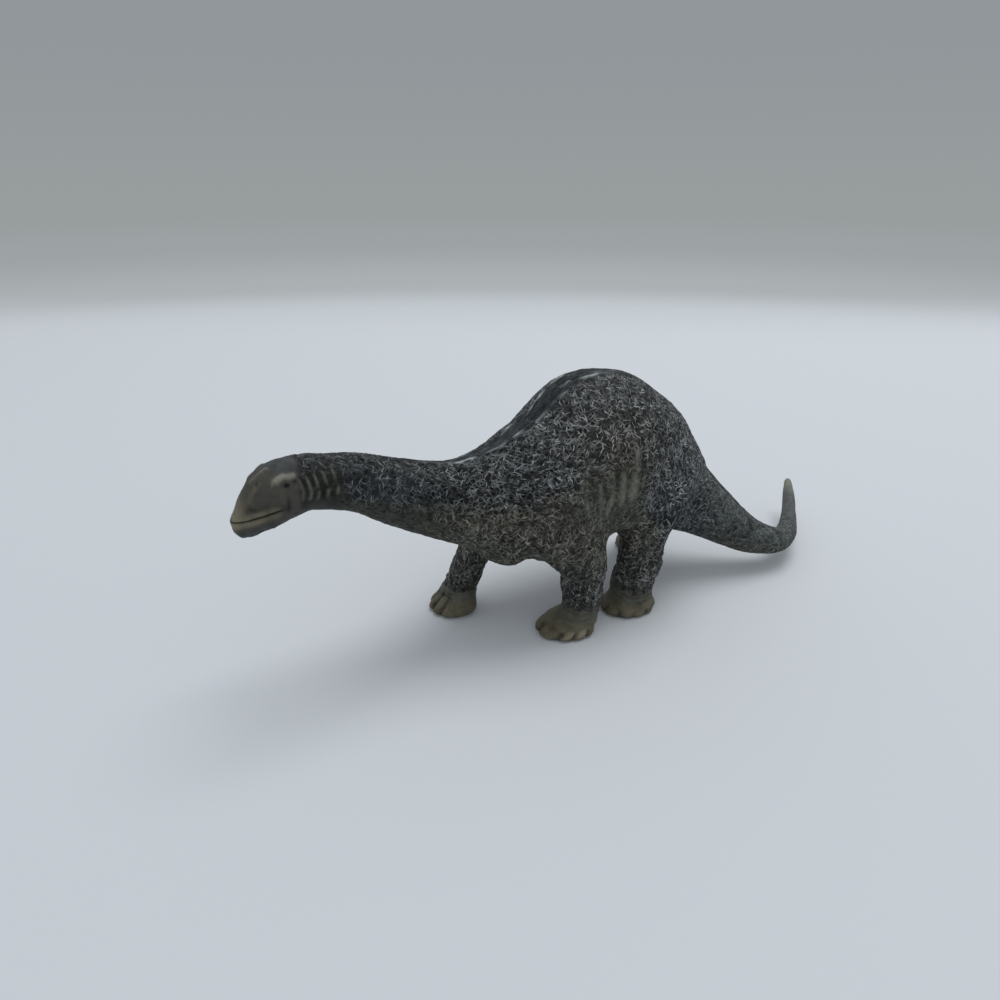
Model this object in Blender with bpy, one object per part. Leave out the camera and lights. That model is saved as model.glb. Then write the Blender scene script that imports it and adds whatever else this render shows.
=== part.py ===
"""A moulded toy sauropod, standing on four flat soles.

The figure is built as such a toy can be: a hollow trunk in two shells that meet along the
spine, and a neck, a head, a lower jaw, a tail and four legs that plug into it. One smooth
form runs from the snout to the tip of the tail, and the pieces along it are cut from that
form. Head towards -X, left side towards -Y, up is +Z.
"""

from collections import namedtuple
from math import sqrt

import bmesh
import bpy
import numpy as np
from mathutils import Matrix, Vector

# Overall sizes, in metres
BACK_HEIGHT = 0.1035
TRUNK_LENGTH = 0.106
TRUNK_WIDTH = 0.062
TRUNK_DEPTH = 0.0705
NECK_LENGTH = 0.056
NECK_WIDTH = 0.030
NECK_DEPTH = 0.030
HEAD_LENGTH = 0.0295
HEAD_WIDTH = 0.0194
HEAD_DEPTH = 0.0215
TAIL_REACH = 0.106
TAIL_SWEEP = 0.026
TAIL_WIDTH = 0.042
TAIL_DEPTH = 0.043

# Legs
SHOULDER_HEIGHT = 0.060
HIP_HEIGHT = 0.066
FORE_TRACK = 0.042
HIND_TRACK = 0.042
FORELEG_WIDTH = 0.022
FORELEG_DEPTH = 0.032
HINDLEG_WIDTH = 0.024
HINDLEG_DEPTH = 0.036
# How far above the trunk's centre line a leg may still stand out of the trunk's side
LEG_RISE = 0.0075

# The shells' wall, the clearance between pieces, and how far a joint starts inside its piece
WALL = 0.0032
GAP = 0.0003
OVERRUN = 0.002

# Square spigots of the neck and the tail
NECK_SPIGOT_SIDE = 0.014
NECK_SPIGOT_LENGTH = 0.007
HEAD_SPIGOT_SIDE = 0.008
HEAD_SPIGOT_LENGTH = 0.006
TAIL_SPIGOT_SIDE = 0.015
TAIL_SPIGOT_LENGTH = 0.008

# Square tenons of the legs: their length in the leg and beyond it, and the wall round them
TENON_SIDE = 0.0065
TENON_ROOT = 0.006
TENON_REACH = 0.014
SOCKET_WALL = 0.0025

# Round dowels between the shells, and the peg of the lower jaw
DOWEL_DIAMETER = 0.0036
DOWEL_LENGTH = 0.004
DOWEL_BOSS_DIAMETER = 0.0085
JAW_PEG_DIAMETER = 0.0024
JAW_PEG_LENGTH = 0.0024

# How finely the forms are cut
SPINE_AROUND = 28
SPINE_STEPS = 3
CAVITY_AROUND = 16
CAVITY_STEPS = 2
LEG_AROUND = 24
LEG_STEPS = 3
PEG_SIDES = 16

# Stations of the spine, as shares: reach along the region's length, sideways sweep,
# height of BACK_HEIGHT, then half width, rise and drop of the region's width and depth
HEAD_SHARES = (
    (1.00, 0.0, 0.660, 0.105, 0.095, 0.09),
    (0.955, 0.0, 0.666, 0.22, 0.21, 0.17),
    (0.84, 0.0, 0.683, 0.31, 0.325, 0.25),
    (0.645, 0.0, 0.717, 0.40, 0.50, 0.35),
    (0.42, 0.0, 0.753, 0.475, 0.60, 0.41),
    (0.20, 0.0, 0.772, 0.50, 0.55, 0.42),
)
NECK_SHARES = (
    (1.00, 0.0, 0.771, 0.31, 0.37, 0.32),
    (0.75, 0.0, 0.739, 0.335, 0.385, 0.35),
    (0.50, 0.0, 0.691, 0.40, 0.385, 0.467),
    (0.23, 0.0, 0.628, 0.50, 0.45, 0.517),
)
TRUNK_SHARES = (
    (0.00, 0.0, 0.585, 0.306, 0.24, 0.26),
    (0.16, 0.0, 0.565, 0.41, 0.305, 0.41),
    (0.30, 0.0, 0.570, 0.475, 0.40, 0.415),
    (0.46, 0.0, 0.575, 0.50, 0.59, 0.425),
    (0.63, 0.0, 0.585, 0.50, 0.61, 0.39),
    (0.79, 0.0, 0.550, 0.46, 0.51, 0.355),
    (0.905, 0.0, 0.495, 0.40, 0.405, 0.32),
    (1.00, 0.0, 0.430, 0.34, 0.325, 0.285),
)
TAIL_SHARES = (
    (0.065, -0.10, 0.372, 0.417, 0.453, 0.42),
    (0.175, -0.33, 0.290, 0.333, 0.35, 0.315),
    (0.283, -0.61, 0.213, 0.262, 0.256, 0.256),
    (0.396, -0.88, 0.150, 0.207, 0.186, 0.205),
    (0.50, -1.00, 0.120, 0.167, 0.145, 0.151),
    (0.613, -0.85, 0.106, 0.129, 0.107, 0.112),
    (0.764, -0.42, 0.106, 0.095, 0.084, 0.084),
    (0.915, 0.135, 0.145, 0.069, 0.067, 0.067),
    (1.00, 0.48, 0.184, 0.043, 0.042, 0.042),
)

# Sections of a leg, as shares: height of the shoulder or hip, then half width, front and
# back of the leg's width and depth
LEFT_FORELEG_SHARES = (
    (1.00, 0.455, 0.50, 0.50),
    (0.767, 0.50, 0.547, 0.453),
    (0.567, 0.432, 0.375, 0.344),
    (0.417, 0.39, 0.25, 0.29),
    (0.217, 0.39, 0.238, 0.27),
    (0.117, 0.455, 0.34, 0.30),
    (0.033, 0.545, 0.48, 0.33),
    (0.00, 0.51, 0.455, 0.312),
)
RIGHT_FORELEG_SHARES = (
    (1.00, 0.455, 0.50, 0.50),
    (0.767, 0.50, 0.50, 0.40),
    (0.567, 0.432, 0.35, 0.31),
    (0.417, 0.39, 0.26, 0.27),
    (0.217, 0.38, 0.23, 0.26),
    (0.117, 0.43, 0.26, 0.28),
    (0.033, 0.50, 0.36, 0.30),
    (0.00, 0.47, 0.335, 0.285),
)
LEFT_HINDLEG_SHARES = (
    (1.00, 0.40, 0.36, 0.30),
    (0.85, 0.50, 0.47, 0.40),
    (0.70, 0.50, 0.458, 0.389),
    (0.52, 0.417, 0.347, 0.264),
    (0.333, 0.383, 0.278, 0.25),
    (0.167, 0.371, 0.258, 0.25),
    (0.091, 0.417, 0.306, 0.278),
    (0.030, 0.479, 0.389, 0.333),
    (0.00, 0.45, 0.367, 0.311),
)
RIGHT_HINDLEG_SHARES = (
    (1.00, 0.40, 0.36, 0.30),
    (0.85, 0.50, 0.45, 0.40),
    (0.70, 0.50, 0.42, 0.389),
    (0.52, 0.417, 0.31, 0.30),
    (0.333, 0.383, 0.25, 0.25),
    (0.167, 0.371, 0.24, 0.24),
    (0.091, 0.417, 0.27, 0.26),
    (0.030, 0.479, 0.32, 0.30),
    (0.00, 0.45, 0.295, 0.28),
)
# Where a leg's centre runs at those sections, as shares of TRUNK_LENGTH and of the track
LEFT_FORE_PATH_SHARES = (
    (0.32, 0.405), (0.358, 0.50), (0.392, 0.524), (0.406, 0.548),
    (0.425, 0.536), (0.40, 0.512), (0.375, 0.50), (0.374, 0.50),
)
RIGHT_FORE_PATH_SHARES = (
    (0.264, 0.405), (0.231, 0.41), (0.175, 0.40), (0.127, 0.40),
    (0.071, 0.41), (0.047, 0.414), (0.038, 0.414), (0.038, 0.414),
)
LEFT_HIND_PATH_SHARES = (
    (0.86, 0.29), (0.845, 0.38), (0.815, 0.452), (0.745, 0.488), (0.717, 0.50),
    (0.689, 0.512), (0.682, 0.512), (0.679, 0.50), (0.679, 0.50),
)
RIGHT_HIND_PATH_SHARES = (
    (0.86, 0.29), (0.865, 0.38), (0.89, 0.452), (0.94, 0.476), (1.00, 0.483),
    (1.04, 0.483), (1.05, 0.483), (1.05, 0.483), (1.05, 0.483),
)

# Where the dowels stand on the parting plane, as shares of TRUNK_LENGTH and BACK_HEIGHT
DOWEL_SHARES = ((0.34, 0.44), (0.42, 0.86), (0.70, 0.86), (0.62, 0.36))
# The two ends of the mouth line, as shares of HEAD_LENGTH and BACK_HEIGHT; the rear end is
# the jaw's corner, and the jaw's peg stands at this share of the way to it
MOUTH_FRONT_SHARES = (1.0, 0.703)
MOUTH_REAR_SHARES = (0.50, 0.738)
JAW_PEG_PLACE_SHARE = 2 / 3
# A tenon points at the top of the leg's centre line, drawn in to this share of its
# distance from the middle plane
TENON_AIM_SHARE = 0.50

COLLECTION_NAME = "toy_sauropod"
UP = Vector((0, 0, 1))
ACROSS = Vector((0, 1, 0))
TAILWARD = Vector((1, 0, 0))
LEFT = -1
RIGHT = 1

# Where the pieces of the spine meet, as places in the list of stations
HEAD_JOINT = len(HEAD_SHARES)
NECK_JOINT = HEAD_JOINT + len(NECK_SHARES)
TAIL_JOINT = NECK_JOINT + len(TRUNK_SHARES) - 1

Leg = namedtuple("Leg", "height track width depth side sections path")
LEGS = {
    "left_foreleg": Leg(
        SHOULDER_HEIGHT, FORE_TRACK, FORELEG_WIDTH, FORELEG_DEPTH, LEFT,
        LEFT_FORELEG_SHARES, LEFT_FORE_PATH_SHARES,
    ),
    "right_foreleg": Leg(
        SHOULDER_HEIGHT, FORE_TRACK, FORELEG_WIDTH, FORELEG_DEPTH, RIGHT,
        RIGHT_FORELEG_SHARES, RIGHT_FORE_PATH_SHARES,
    ),
    "left_hindleg": Leg(
        HIP_HEIGHT, HIND_TRACK, HINDLEG_WIDTH, HINDLEG_DEPTH, LEFT,
        LEFT_HINDLEG_SHARES, LEFT_HIND_PATH_SHARES,
    ),
    "right_hindleg": Leg(
        HIP_HEIGHT, HIND_TRACK, HINDLEG_WIDTH, HINDLEG_DEPTH, RIGHT,
        RIGHT_HINDLEG_SHARES, RIGHT_HIND_PATH_SHARES,
    ),
}

# Colour and roughness of each piece's paint
SKIN = {
    "trunk_left_shell": ((0.055, 0.060, 0.062), 0.62),
    "trunk_right_shell": ((0.060, 0.065, 0.066), 0.62),
    "neck": ((0.058, 0.062, 0.060), 0.62),
    "head": ((0.085, 0.082, 0.070), 0.58),
    "lower_jaw": ((0.10, 0.10, 0.082), 0.58),
    "tail": ((0.062, 0.066, 0.062), 0.62),
    "left_foreleg": ((0.070, 0.072, 0.062), 0.60),
    "right_foreleg": ((0.066, 0.068, 0.060), 0.60),
    "left_hindleg": ((0.068, 0.070, 0.062), 0.60),
    "right_hindleg": ((0.064, 0.067, 0.060), 0.60),
}


def fresh_scene():
    """Removes the old objects and gives the collections of the parts and the cutters."""
    for old in list(bpy.data.objects):
        bpy.data.objects.remove(old, do_unlink=True)
    made = []
    for name in (COLLECTION_NAME, "cutters"):
        collection = bpy.data.collections.get(name) or bpy.data.collections.new(name)
        if name not in bpy.context.scene.collection.children:
            bpy.context.scene.collection.children.link(collection)
        made.append(collection)
    return made


PARTS, CUTTERS = fresh_scene()


def painted_vinyl(name):
    """The paint of one piece."""
    colour, roughness = SKIN[name]
    material = bpy.data.materials.new(f"painted vinyl {name}")
    material.use_nodes = True
    shader = material.node_tree.nodes["Principled BSDF"]
    shader.inputs["Base Color"].default_value = (*colour, 1)
    shader.inputs["Roughness"].default_value = roughness
    shader.inputs["Metallic"].default_value = 0
    material.diffuse_color = (*colour, 1)
    return material


def mesh_object(name, shape, collection):
    """Turns a bmesh into an object with outward faces; cutters stay out of renders."""
    bmesh.ops.recalc_face_normals(shape, faces=shape.faces)
    mesh = bpy.data.meshes.new(name)
    shape.to_mesh(mesh)
    shape.free()
    mesh.shade_smooth()
    thing = bpy.data.objects.new(name, mesh)
    collection.objects.link(thing)
    if collection is CUTTERS:
        thing.hide_render = True
        thing.display_type = "WIRE"
    return thing


def cut(thing, tool, operation):
    """Adds a live Boolean modifier to an object."""
    modifier = thing.modifiers.new(f"{operation.lower()} {tool.name}", "BOOLEAN")
    modifier.operation = operation
    modifier.solver = "EXACT"
    modifier.object = tool


def through(rows, steps):
    """Rows on the smooth curve that passes through the given rows, steps to a span."""
    ends = np.vstack((2 * rows[0] - rows[1], rows, 2 * rows[-1] - rows[-2]))
    t = (np.arange(steps) / steps)[:, None]
    spans = []
    for a, b, c, d in zip(ends, ends[1:], ends[2:], ends[3:]):
        bend = (2 * a - 5 * b + 4 * c - d) * t**2 + (3 * b - a - 3 * c + d) * t**3
        spans.append(b + ((c - a) * t + bend) / 2)
    return np.vstack((*spans, rows[-1:]))


def spine_stations():
    """Centre, half width, rise and drop at every station from the snout to the tail tip."""
    regions = (
        (HEAD_SHARES, -NECK_LENGTH, -HEAD_LENGTH, HEAD_WIDTH, HEAD_DEPTH),
        (NECK_SHARES, 0, -NECK_LENGTH, NECK_WIDTH, NECK_DEPTH),
        (TRUNK_SHARES, 0, TRUNK_LENGTH, TRUNK_WIDTH, TRUNK_DEPTH),
        (TAIL_SHARES, TRUNK_LENGTH, TAIL_REACH, TAIL_WIDTH, TAIL_DEPTH),
    )
    stations = []
    for table, start, length, width, depth in regions:
        for reach, sweep, height, half, rise, drop in table:
            centre = (start + reach * length, sweep * TAIL_SWEEP, height * BACK_HEIGHT)
            stations.append((*centre, half * width, rise * depth, drop * depth))
    return np.array(stations)


def rings(rows, around, grow):
    """Rings of points square to the path: half width, rise above it and drop below it."""
    ahead = np.gradient(rows[:, :3], axis=0)
    ahead /= np.linalg.norm(ahead, axis=1)[:, None]
    side = np.cross(ahead, UP)
    side /= np.linalg.norm(side, axis=1)[:, None]
    top = np.cross(side, ahead)
    turn = 2 * np.pi * np.arange(around) / around
    across = np.cos(turn) * (rows[:, 3:4] + grow)
    height = np.sin(turn) * (np.where(np.sin(turn) > 0, rows[:, 4:5], rows[:, 5:6]) + grow)
    return rows[:, None, :3] + across[..., None] * side[:, None] + height[..., None] * top[:, None]


def loft(points):
    """A closed bmesh over rings of points, with flat ends."""
    shape = bmesh.new()
    loops = [[shape.verts.new(point) for point in ring] for ring in points]
    for ring, following in zip(loops, loops[1:]):
        for i, corner in enumerate(ring):
            shape.faces.new((ring[i - 1], following[i - 1], following[i], corner))
    shape.faces.new(loops[0])
    shape.faces.new(reversed(loops[-1]))
    return shape


def keep_side(shape, point, normal):
    """Cuts a bmesh along a plane, keeps what the normal points to and closes the cut."""
    geometry = (*shape.verts, *shape.edges, *shape.faces)
    done = bmesh.ops.bisect_plane(
        shape, geom=geometry, plane_co=point, plane_no=normal, clear_inner=True
    )
    rim = [item for item in done["geom_cut"] if isinstance(item, bmesh.types.BMEdge)]
    if rim:
        bmesh.ops.contextual_create(shape, geom=rim)


def spine_form(grow=0.0):
    """The whole form from snout to tail tip."""
    return loft(rings(through(spine_stations(), SPINE_STEPS), SPINE_AROUND, grow))


def joint_centre(station):
    """The middle of the upright face where two pieces of the spine meet."""
    return Vector(spine_stations()[station, :3])


def spine_piece(first, last):
    """The bmesh of the form between two joints, half a gap short of each; None is an end."""
    shape = spine_form()
    if first is not None:
        keep_side(shape, joint_centre(first) + TAILWARD * GAP / 2, TAILWARD)
    if last is not None:
        keep_side(shape, joint_centre(last) - TAILWARD * GAP / 2, -TAILWARD)
    return shape


def placed(middle, ahead):
    """The matrix that puts a shape at a point with its own Z along a direction."""
    return Matrix.Translation(middle) @ ahead.to_track_quat("Z", "Y").to_matrix().to_4x4()


def square_bar(name, middle, ahead, side, length):
    """A cutter: a square bar along a direction."""
    shape = bmesh.new()
    size = Matrix.Diagonal((side, side, length, 1))
    bmesh.ops.create_cube(shape, size=1, matrix=placed(middle, ahead) @ size)
    return mesh_object(name, shape, CUTTERS)


def rod(name, start, ahead, diameter, length):
    """A cutter: a round rod from a point along a direction."""
    shape = bmesh.new()
    bmesh.ops.create_cone(
        shape, cap_ends=True, segments=PEG_SIDES, radius1=diameter / 2, radius2=diameter / 2,
        depth=length, matrix=placed(start + ahead * length / 2, ahead),
    )
    return mesh_object(name, shape, CUTTERS)


def spigot_pair(name, start, ahead, side, length):
    """A square spigot that starts inside its piece, and the wider socket that takes it."""
    whole = OVERRUN + length
    middle = start + ahead * (length - OVERRUN) / 2
    spigot = square_bar(f"{name} spigot", middle, ahead, side, whole)
    socket = square_bar(
        f"{name} socket", middle + ahead * GAP / 2, ahead, side + 2 * GAP, whole + GAP
    )
    return spigot, socket


def leg_stations(leg):
    """Centre, half width, front and back at every station of a leg, from the top down."""
    stations = []
    for (level, half, front, back), (along, out) in zip(leg.sections, leg.path):
        centre = (along * TRUNK_LENGTH, leg.side * out * leg.track, level * leg.height)
        stations.append((*centre, half * leg.width, front * leg.depth, back * leg.depth))
    return np.array(stations)


def leg_form(stations):
    """The closed form of a leg: level rings, so that the sole is flat."""
    rows = through(stations, LEG_STEPS)
    turn = 2 * np.pi * np.arange(LEG_AROUND) / LEG_AROUND
    reach = np.where(np.sin(turn) > 0, rows[:, 4:5], rows[:, 5:6])
    points = np.repeat(rows[:, None, :3], LEG_AROUND, axis=1)
    points[..., 0] -= np.sin(turn) * reach
    points[..., 1] += np.cos(turn) * rows[:, 3:4]
    return loft(points)


def leg_ceiling(stations):
    """The level that a leg stays under: the trunk's centre line at the leg's top, and a rise."""
    spine = spine_stations()
    return np.interp(stations[0, 0], spine[:, 0], spine[:, 2]) + LEG_RISE


def belly_level(reach):
    """The height of the trunk's underside on the middle plane, at places along the trunk."""
    spine = spine_stations()
    return np.interp(reach, spine[:, 0], spine[:, 2] - spine[:, 5])


def tenon_line(stations):
    """A tenon's start in its leg, level with the belly, and its direction into the trunk."""
    rows = through(stations, LEG_STEPS)
    above_belly = rows[:, 2] - belly_level(rows[:, 0])
    root = Vector(rows[np.argmin(np.abs(above_belly)), :3])
    aim = Vector(stations[0, :3])
    aim.y *= TENON_AIM_SHARE
    return root, (aim - root).normalized()


def make_legs():
    """Four legs cut to the trunk's outside, with tenons; also each side's sockets and bosses."""
    envelope = mesh_object("trunk envelope", spine_form(GAP), CUTTERS)
    legs = []
    sockets = {LEFT: [], RIGHT: []}
    bosses = {LEFT: [], RIGHT: []}
    length = TENON_ROOT + TENON_REACH
    socket_side = TENON_SIDE + 2 * GAP
    boss_diameter = socket_side * sqrt(2) + 2 * SOCKET_WALL
    for name, sizes in LEGS.items():
        stations = leg_stations(sizes)
        root, inward = tenon_line(stations)
        middle = root + inward * length / 2
        shape = leg_form(stations)
        keep_side(shape, UP * leg_ceiling(stations), -UP)
        leg = mesh_object(name, shape, PARTS)
        cut(leg, envelope, "DIFFERENCE")
        cut(leg, square_bar(f"{name} tenon", middle, inward, TENON_SIDE, length), "UNION")
        socket = square_bar(
            f"{name} socket", middle + inward * GAP / 2, inward, socket_side, length + GAP
        )
        boss = rod(f"{name} boss", root, inward, boss_diameter, length + GAP + SOCKET_WALL)
        sockets[sizes.side].append(socket)
        bosses[sizes.side].append(boss)
        legs.append(leg)
    return legs, sockets, bosses


def cavity(name, bosses):
    """The hollow of the trunk, less the bosses that stand in it."""
    rows = through(spine_stations(), CAVITY_STEPS)
    trunk = rows[NECK_JOINT * CAVITY_STEPS : TAIL_JOINT * CAVITY_STEPS + 1]
    shape = loft(rings(trunk, CAVITY_AROUND, -WALL))
    front = joint_centre(NECK_JOINT) + TAILWARD * (NECK_SPIGOT_LENGTH + WALL)
    rear = joint_centre(TAIL_JOINT) - TAILWARD * (TAIL_SPIGOT_LENGTH + WALL)
    keep_side(shape, front, TAILWARD)
    keep_side(shape, rear, -TAILWARD)
    hollow = mesh_object(name, shape, CUTTERS)
    for boss in bosses:
        cut(hollow, boss, "DIFFERENCE")
    return hollow


def dowel_rods(name, start_depth, diameter, length):
    """Rods across the parting plane at each dowel's place, from a depth left of the plane."""
    rods = []
    for along, height in DOWEL_SHARES:
        start = Vector((along * TRUNK_LENGTH, -start_depth, height * BACK_HEIGHT))
        rods.append(rod(f"{name} {len(rods) + 1}", start, ACROSS, diameter, length))
    return rods


def make_trunk(end_sockets, leg_sockets, leg_bosses):
    """Two shells that part along the spine, with dowels on the left and bores on the right."""
    across = dowel_rods("dowel boss", TRUNK_WIDTH / 2, DOWEL_BOSS_DIAMETER, TRUNK_WIDTH)
    shells = []
    for name, side in (("trunk_left_shell", LEFT), ("trunk_right_shell", RIGHT)):
        shape = spine_piece(NECK_JOINT, TAIL_JOINT)
        keep_side(shape, ACROSS * side * GAP / 2, ACROSS * side)
        shell = mesh_object(name, shape, PARTS)
        hollow = cavity(f"{name} hollow", across + leg_bosses[side])
        for tool in (hollow, *end_sockets, *leg_sockets[side]):
            cut(shell, tool, "DIFFERENCE")
        shells.append(shell)
    left, right = shells
    for dowel in dowel_rods("dowel", OVERRUN, DOWEL_DIAMETER, OVERRUN + DOWEL_LENGTH):
        cut(left, dowel, "UNION")
    bore_diameter = DOWEL_DIAMETER + 2 * GAP
    for bore in dowel_rods("dowel bore", OVERRUN, bore_diameter, OVERRUN + DOWEL_LENGTH + GAP):
        cut(right, bore, "DIFFERENCE")
    return shells


def mouth_point(shares):
    """A point of the mouth line on the middle plane."""
    reach, height = shares
    return Vector((-NECK_LENGTH - reach * HEAD_LENGTH, 0, height * BACK_HEIGHT))


MOUTH_FRONT = mouth_point(MOUTH_FRONT_SHARES)
MOUTH_REAR = mouth_point(MOUTH_REAR_SHARES)
MOUTH_AHEAD = (MOUTH_FRONT - MOUTH_REAR).normalized()
MOUTH_DOWN = MOUTH_AHEAD.cross(ACROSS).normalized()


def mouth_block(name, grow):
    """A cutter: what lies below the mouth line and ahead of the jaw's corner."""
    start = MOUTH_REAR - (MOUTH_AHEAD + MOUTH_DOWN) * grow
    middle = start + MOUTH_AHEAD * HEAD_LENGTH / 2 + MOUTH_DOWN * HEAD_DEPTH / 2
    turn = Matrix((MOUTH_AHEAD, ACROSS, MOUTH_DOWN)).transposed().to_4x4()
    size = Matrix.Diagonal((HEAD_LENGTH, HEAD_WIDTH + 2 * OVERRUN, HEAD_DEPTH, 1))
    shape = bmesh.new()
    bmesh.ops.create_cube(shape, size=1, matrix=Matrix.Translation(middle) @ turn @ size)
    return mesh_object(name, shape, CUTTERS)


def make_head(neck_socket):
    """The skull and the lower jaw, parted along the mouth line and pegged together."""
    head = mesh_object("head", spine_piece(None, HEAD_JOINT), PARTS)
    jaw = mesh_object("lower_jaw", spine_piece(None, HEAD_JOINT), PARTS)
    cut(head, mouth_block("mouth room", GAP / 2), "DIFFERENCE")
    cut(head, neck_socket, "DIFFERENCE")
    cut(jaw, mouth_block("jaw form", -GAP / 2), "INTERSECT")
    root = MOUTH_FRONT.lerp(MOUTH_REAR, JAW_PEG_PLACE_SHARE) + MOUTH_DOWN * OVERRUN / 2
    length = OVERRUN / 2 + JAW_PEG_LENGTH
    cut(jaw, rod("jaw peg", root, -MOUTH_DOWN, JAW_PEG_DIAMETER, length), "UNION")
    bore_diameter = JAW_PEG_DIAMETER + 2 * GAP
    cut(head, rod("jaw peg bore", root, -MOUTH_DOWN, bore_diameter, length + GAP), "DIFFERENCE")
    return [head, jaw]


def make_neck():
    """The neck with a spigot at each end; also the sockets of the head and the trunk."""
    neck = mesh_object("neck", spine_piece(HEAD_JOINT, NECK_JOINT), PARTS)
    head_spigot, head_socket = spigot_pair(
        "head", joint_centre(HEAD_JOINT), -TAILWARD, HEAD_SPIGOT_SIDE, HEAD_SPIGOT_LENGTH
    )
    trunk_spigot, trunk_socket = spigot_pair(
        "neck", joint_centre(NECK_JOINT), TAILWARD, NECK_SPIGOT_SIDE, NECK_SPIGOT_LENGTH
    )
    cut(neck, head_spigot, "UNION")
    cut(neck, trunk_spigot, "UNION")
    return neck, head_socket, trunk_socket


def make_tail():
    """The tail with its spigot; also the trunk's socket for it."""
    tail = mesh_object("tail", spine_piece(TAIL_JOINT, None), PARTS)
    spigot, socket = spigot_pair(
        "tail", joint_centre(TAIL_JOINT), -TAILWARD, TAIL_SPIGOT_SIDE, TAIL_SPIGOT_LENGTH
    )
    cut(tail, spigot, "UNION")
    return tail, socket


def stand_on_origin(parts):
    """Hangs all on one empty and puts the middle of the parts' box on the floor at the origin."""
    root = bpy.data.objects.new("toy_sauropod_root", None)
    PARTS.objects.link(root)
    for thing in (*parts, *CUTTERS.objects):
        thing.parent = root
    depsgraph = bpy.context.evaluated_depsgraph_get()
    solids = [part.evaluated_get(depsgraph) for part in parts]
    corners = np.array(
        [solid.matrix_world @ Vector(corner) for solid in solids for corner in solid.bound_box]
    )
    low = corners.min(axis=0)
    high = corners.max(axis=0)
    root.location = (-(low[0] + high[0]) / 2, -(low[1] + high[1]) / 2, -low[2])


def main():
    """Builds the figure piece by piece."""
    neck, head_socket, trunk_socket = make_neck()
    tail, tail_socket = make_tail()
    legs, leg_sockets, leg_bosses = make_legs()
    shells = make_trunk((trunk_socket, tail_socket), leg_sockets, leg_bosses)
    parts = [*shells, neck, tail, *make_head(head_socket), *legs]
    for part in parts:
        part.data.materials.append(painted_vinyl(part.name))
    stand_on_origin(parts)


main()
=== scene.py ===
"""The looks of a moulded toy sauropod: wrinkled skins, hand-applied paint, floor and light.

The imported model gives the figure's place and smooth form. Each of its pieces gets a skin of
its own here, which follows that form, flows over from body to leg, and carries wrinkles,
folds, toes and a face. Lengths are millimetres until a mesh is made.
"""

import logging
import math
from collections.abc import Callable
from dataclasses import dataclass, field
from enum import Enum

import bpy
import numpy as np
from mathutils import Euler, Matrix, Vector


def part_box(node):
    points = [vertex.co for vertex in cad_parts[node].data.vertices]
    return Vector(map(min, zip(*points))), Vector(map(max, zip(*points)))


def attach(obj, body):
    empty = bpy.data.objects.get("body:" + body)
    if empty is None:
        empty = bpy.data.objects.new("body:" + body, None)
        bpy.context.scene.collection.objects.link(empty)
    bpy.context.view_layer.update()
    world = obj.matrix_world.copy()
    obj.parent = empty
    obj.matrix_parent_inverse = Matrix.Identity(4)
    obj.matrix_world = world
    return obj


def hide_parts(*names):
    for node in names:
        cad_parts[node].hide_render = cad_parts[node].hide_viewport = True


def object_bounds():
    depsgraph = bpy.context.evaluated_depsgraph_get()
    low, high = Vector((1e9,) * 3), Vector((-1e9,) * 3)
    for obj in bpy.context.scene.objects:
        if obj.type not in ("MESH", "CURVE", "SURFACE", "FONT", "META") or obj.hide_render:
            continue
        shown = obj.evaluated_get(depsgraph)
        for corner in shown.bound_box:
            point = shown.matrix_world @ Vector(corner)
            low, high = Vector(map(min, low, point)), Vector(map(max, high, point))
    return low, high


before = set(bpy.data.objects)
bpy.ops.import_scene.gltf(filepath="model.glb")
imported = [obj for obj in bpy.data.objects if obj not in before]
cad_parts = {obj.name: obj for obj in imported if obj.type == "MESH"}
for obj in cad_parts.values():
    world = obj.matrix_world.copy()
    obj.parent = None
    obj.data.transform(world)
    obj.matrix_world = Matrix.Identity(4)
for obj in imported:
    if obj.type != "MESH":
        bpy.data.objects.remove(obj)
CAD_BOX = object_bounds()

Array = np.ndarray
LOG = logging.getLogger("toy_sauropod")
MM = 0.001
# Clearance between the solids, which shows where their joints are
GAP = 0.3
# How far the bare form lies inside the solids, so that the wrinkles stay in their box
INSET = 0.35
# Spacing of the skins' points
SKIN_STEP = 0.36
TRUNK_STEP = 0.40
TAIL_STEP = 0.475
FACE_STEP = 0.24
# Size of the fillet where a leg flows into the trunk, and how deep a hidden rim is sunk
FILLET = 7.0
SUNK = 2.5
# Height of the dome in which a leg ends inside the trunk
DOME = 14.0
# How far the lips of the closed mouth stay apart
LIP_GAP = 0.12
# How far a hidden rim's level is smoothed, in steps round the ring
JOINT_SPREAD = 5.0
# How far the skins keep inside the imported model's box
BOX_MARGIN = 0.01

# Columns of the spine's table after the path's X, Y and Z: three directions, the ring's half
# width, rise and drop, and how the path bends
SIDEWAYS, UPWARD, ONWARD = slice(3, 6), slice(6, 9), slice(9, 12)
HALF, RISE, DROP = 12, 13, 14
BEND = slice(15, 18)
# Columns of a leg's table after its centre's X, Y and Z
LEG_HALF, LEG_FRONT, LEG_BACK = 3, 4, 5
# Columns of a coat's row after its three colours
STROKES, STAIN = 9, 10

# Overall sizes of the form, as the solids have them. A region of the spine has the X of its
# start, its length, and the width and depth that its stations are shares of
BACK_HEIGHT = 103.5
TRUNK = (0.0, 106.0, 62.0, 70.5)
NECK = (0.0, -56.0, 30.0, 30.0)
HEAD = (-56.0, -29.5, 19.4, 21.5)
TAIL = (106.0, 106.0, 42.0, 43.0)
TAIL_SWEEP = 26.0
TRACK = 42.0
SHOULDER_HEIGHT = 60.0
HIP_HEIGHT = 66.0
FORELEG_SIZES = (22.0, 32.0)
HINDLEG_SIZES = (24.0, 36.0)

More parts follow.
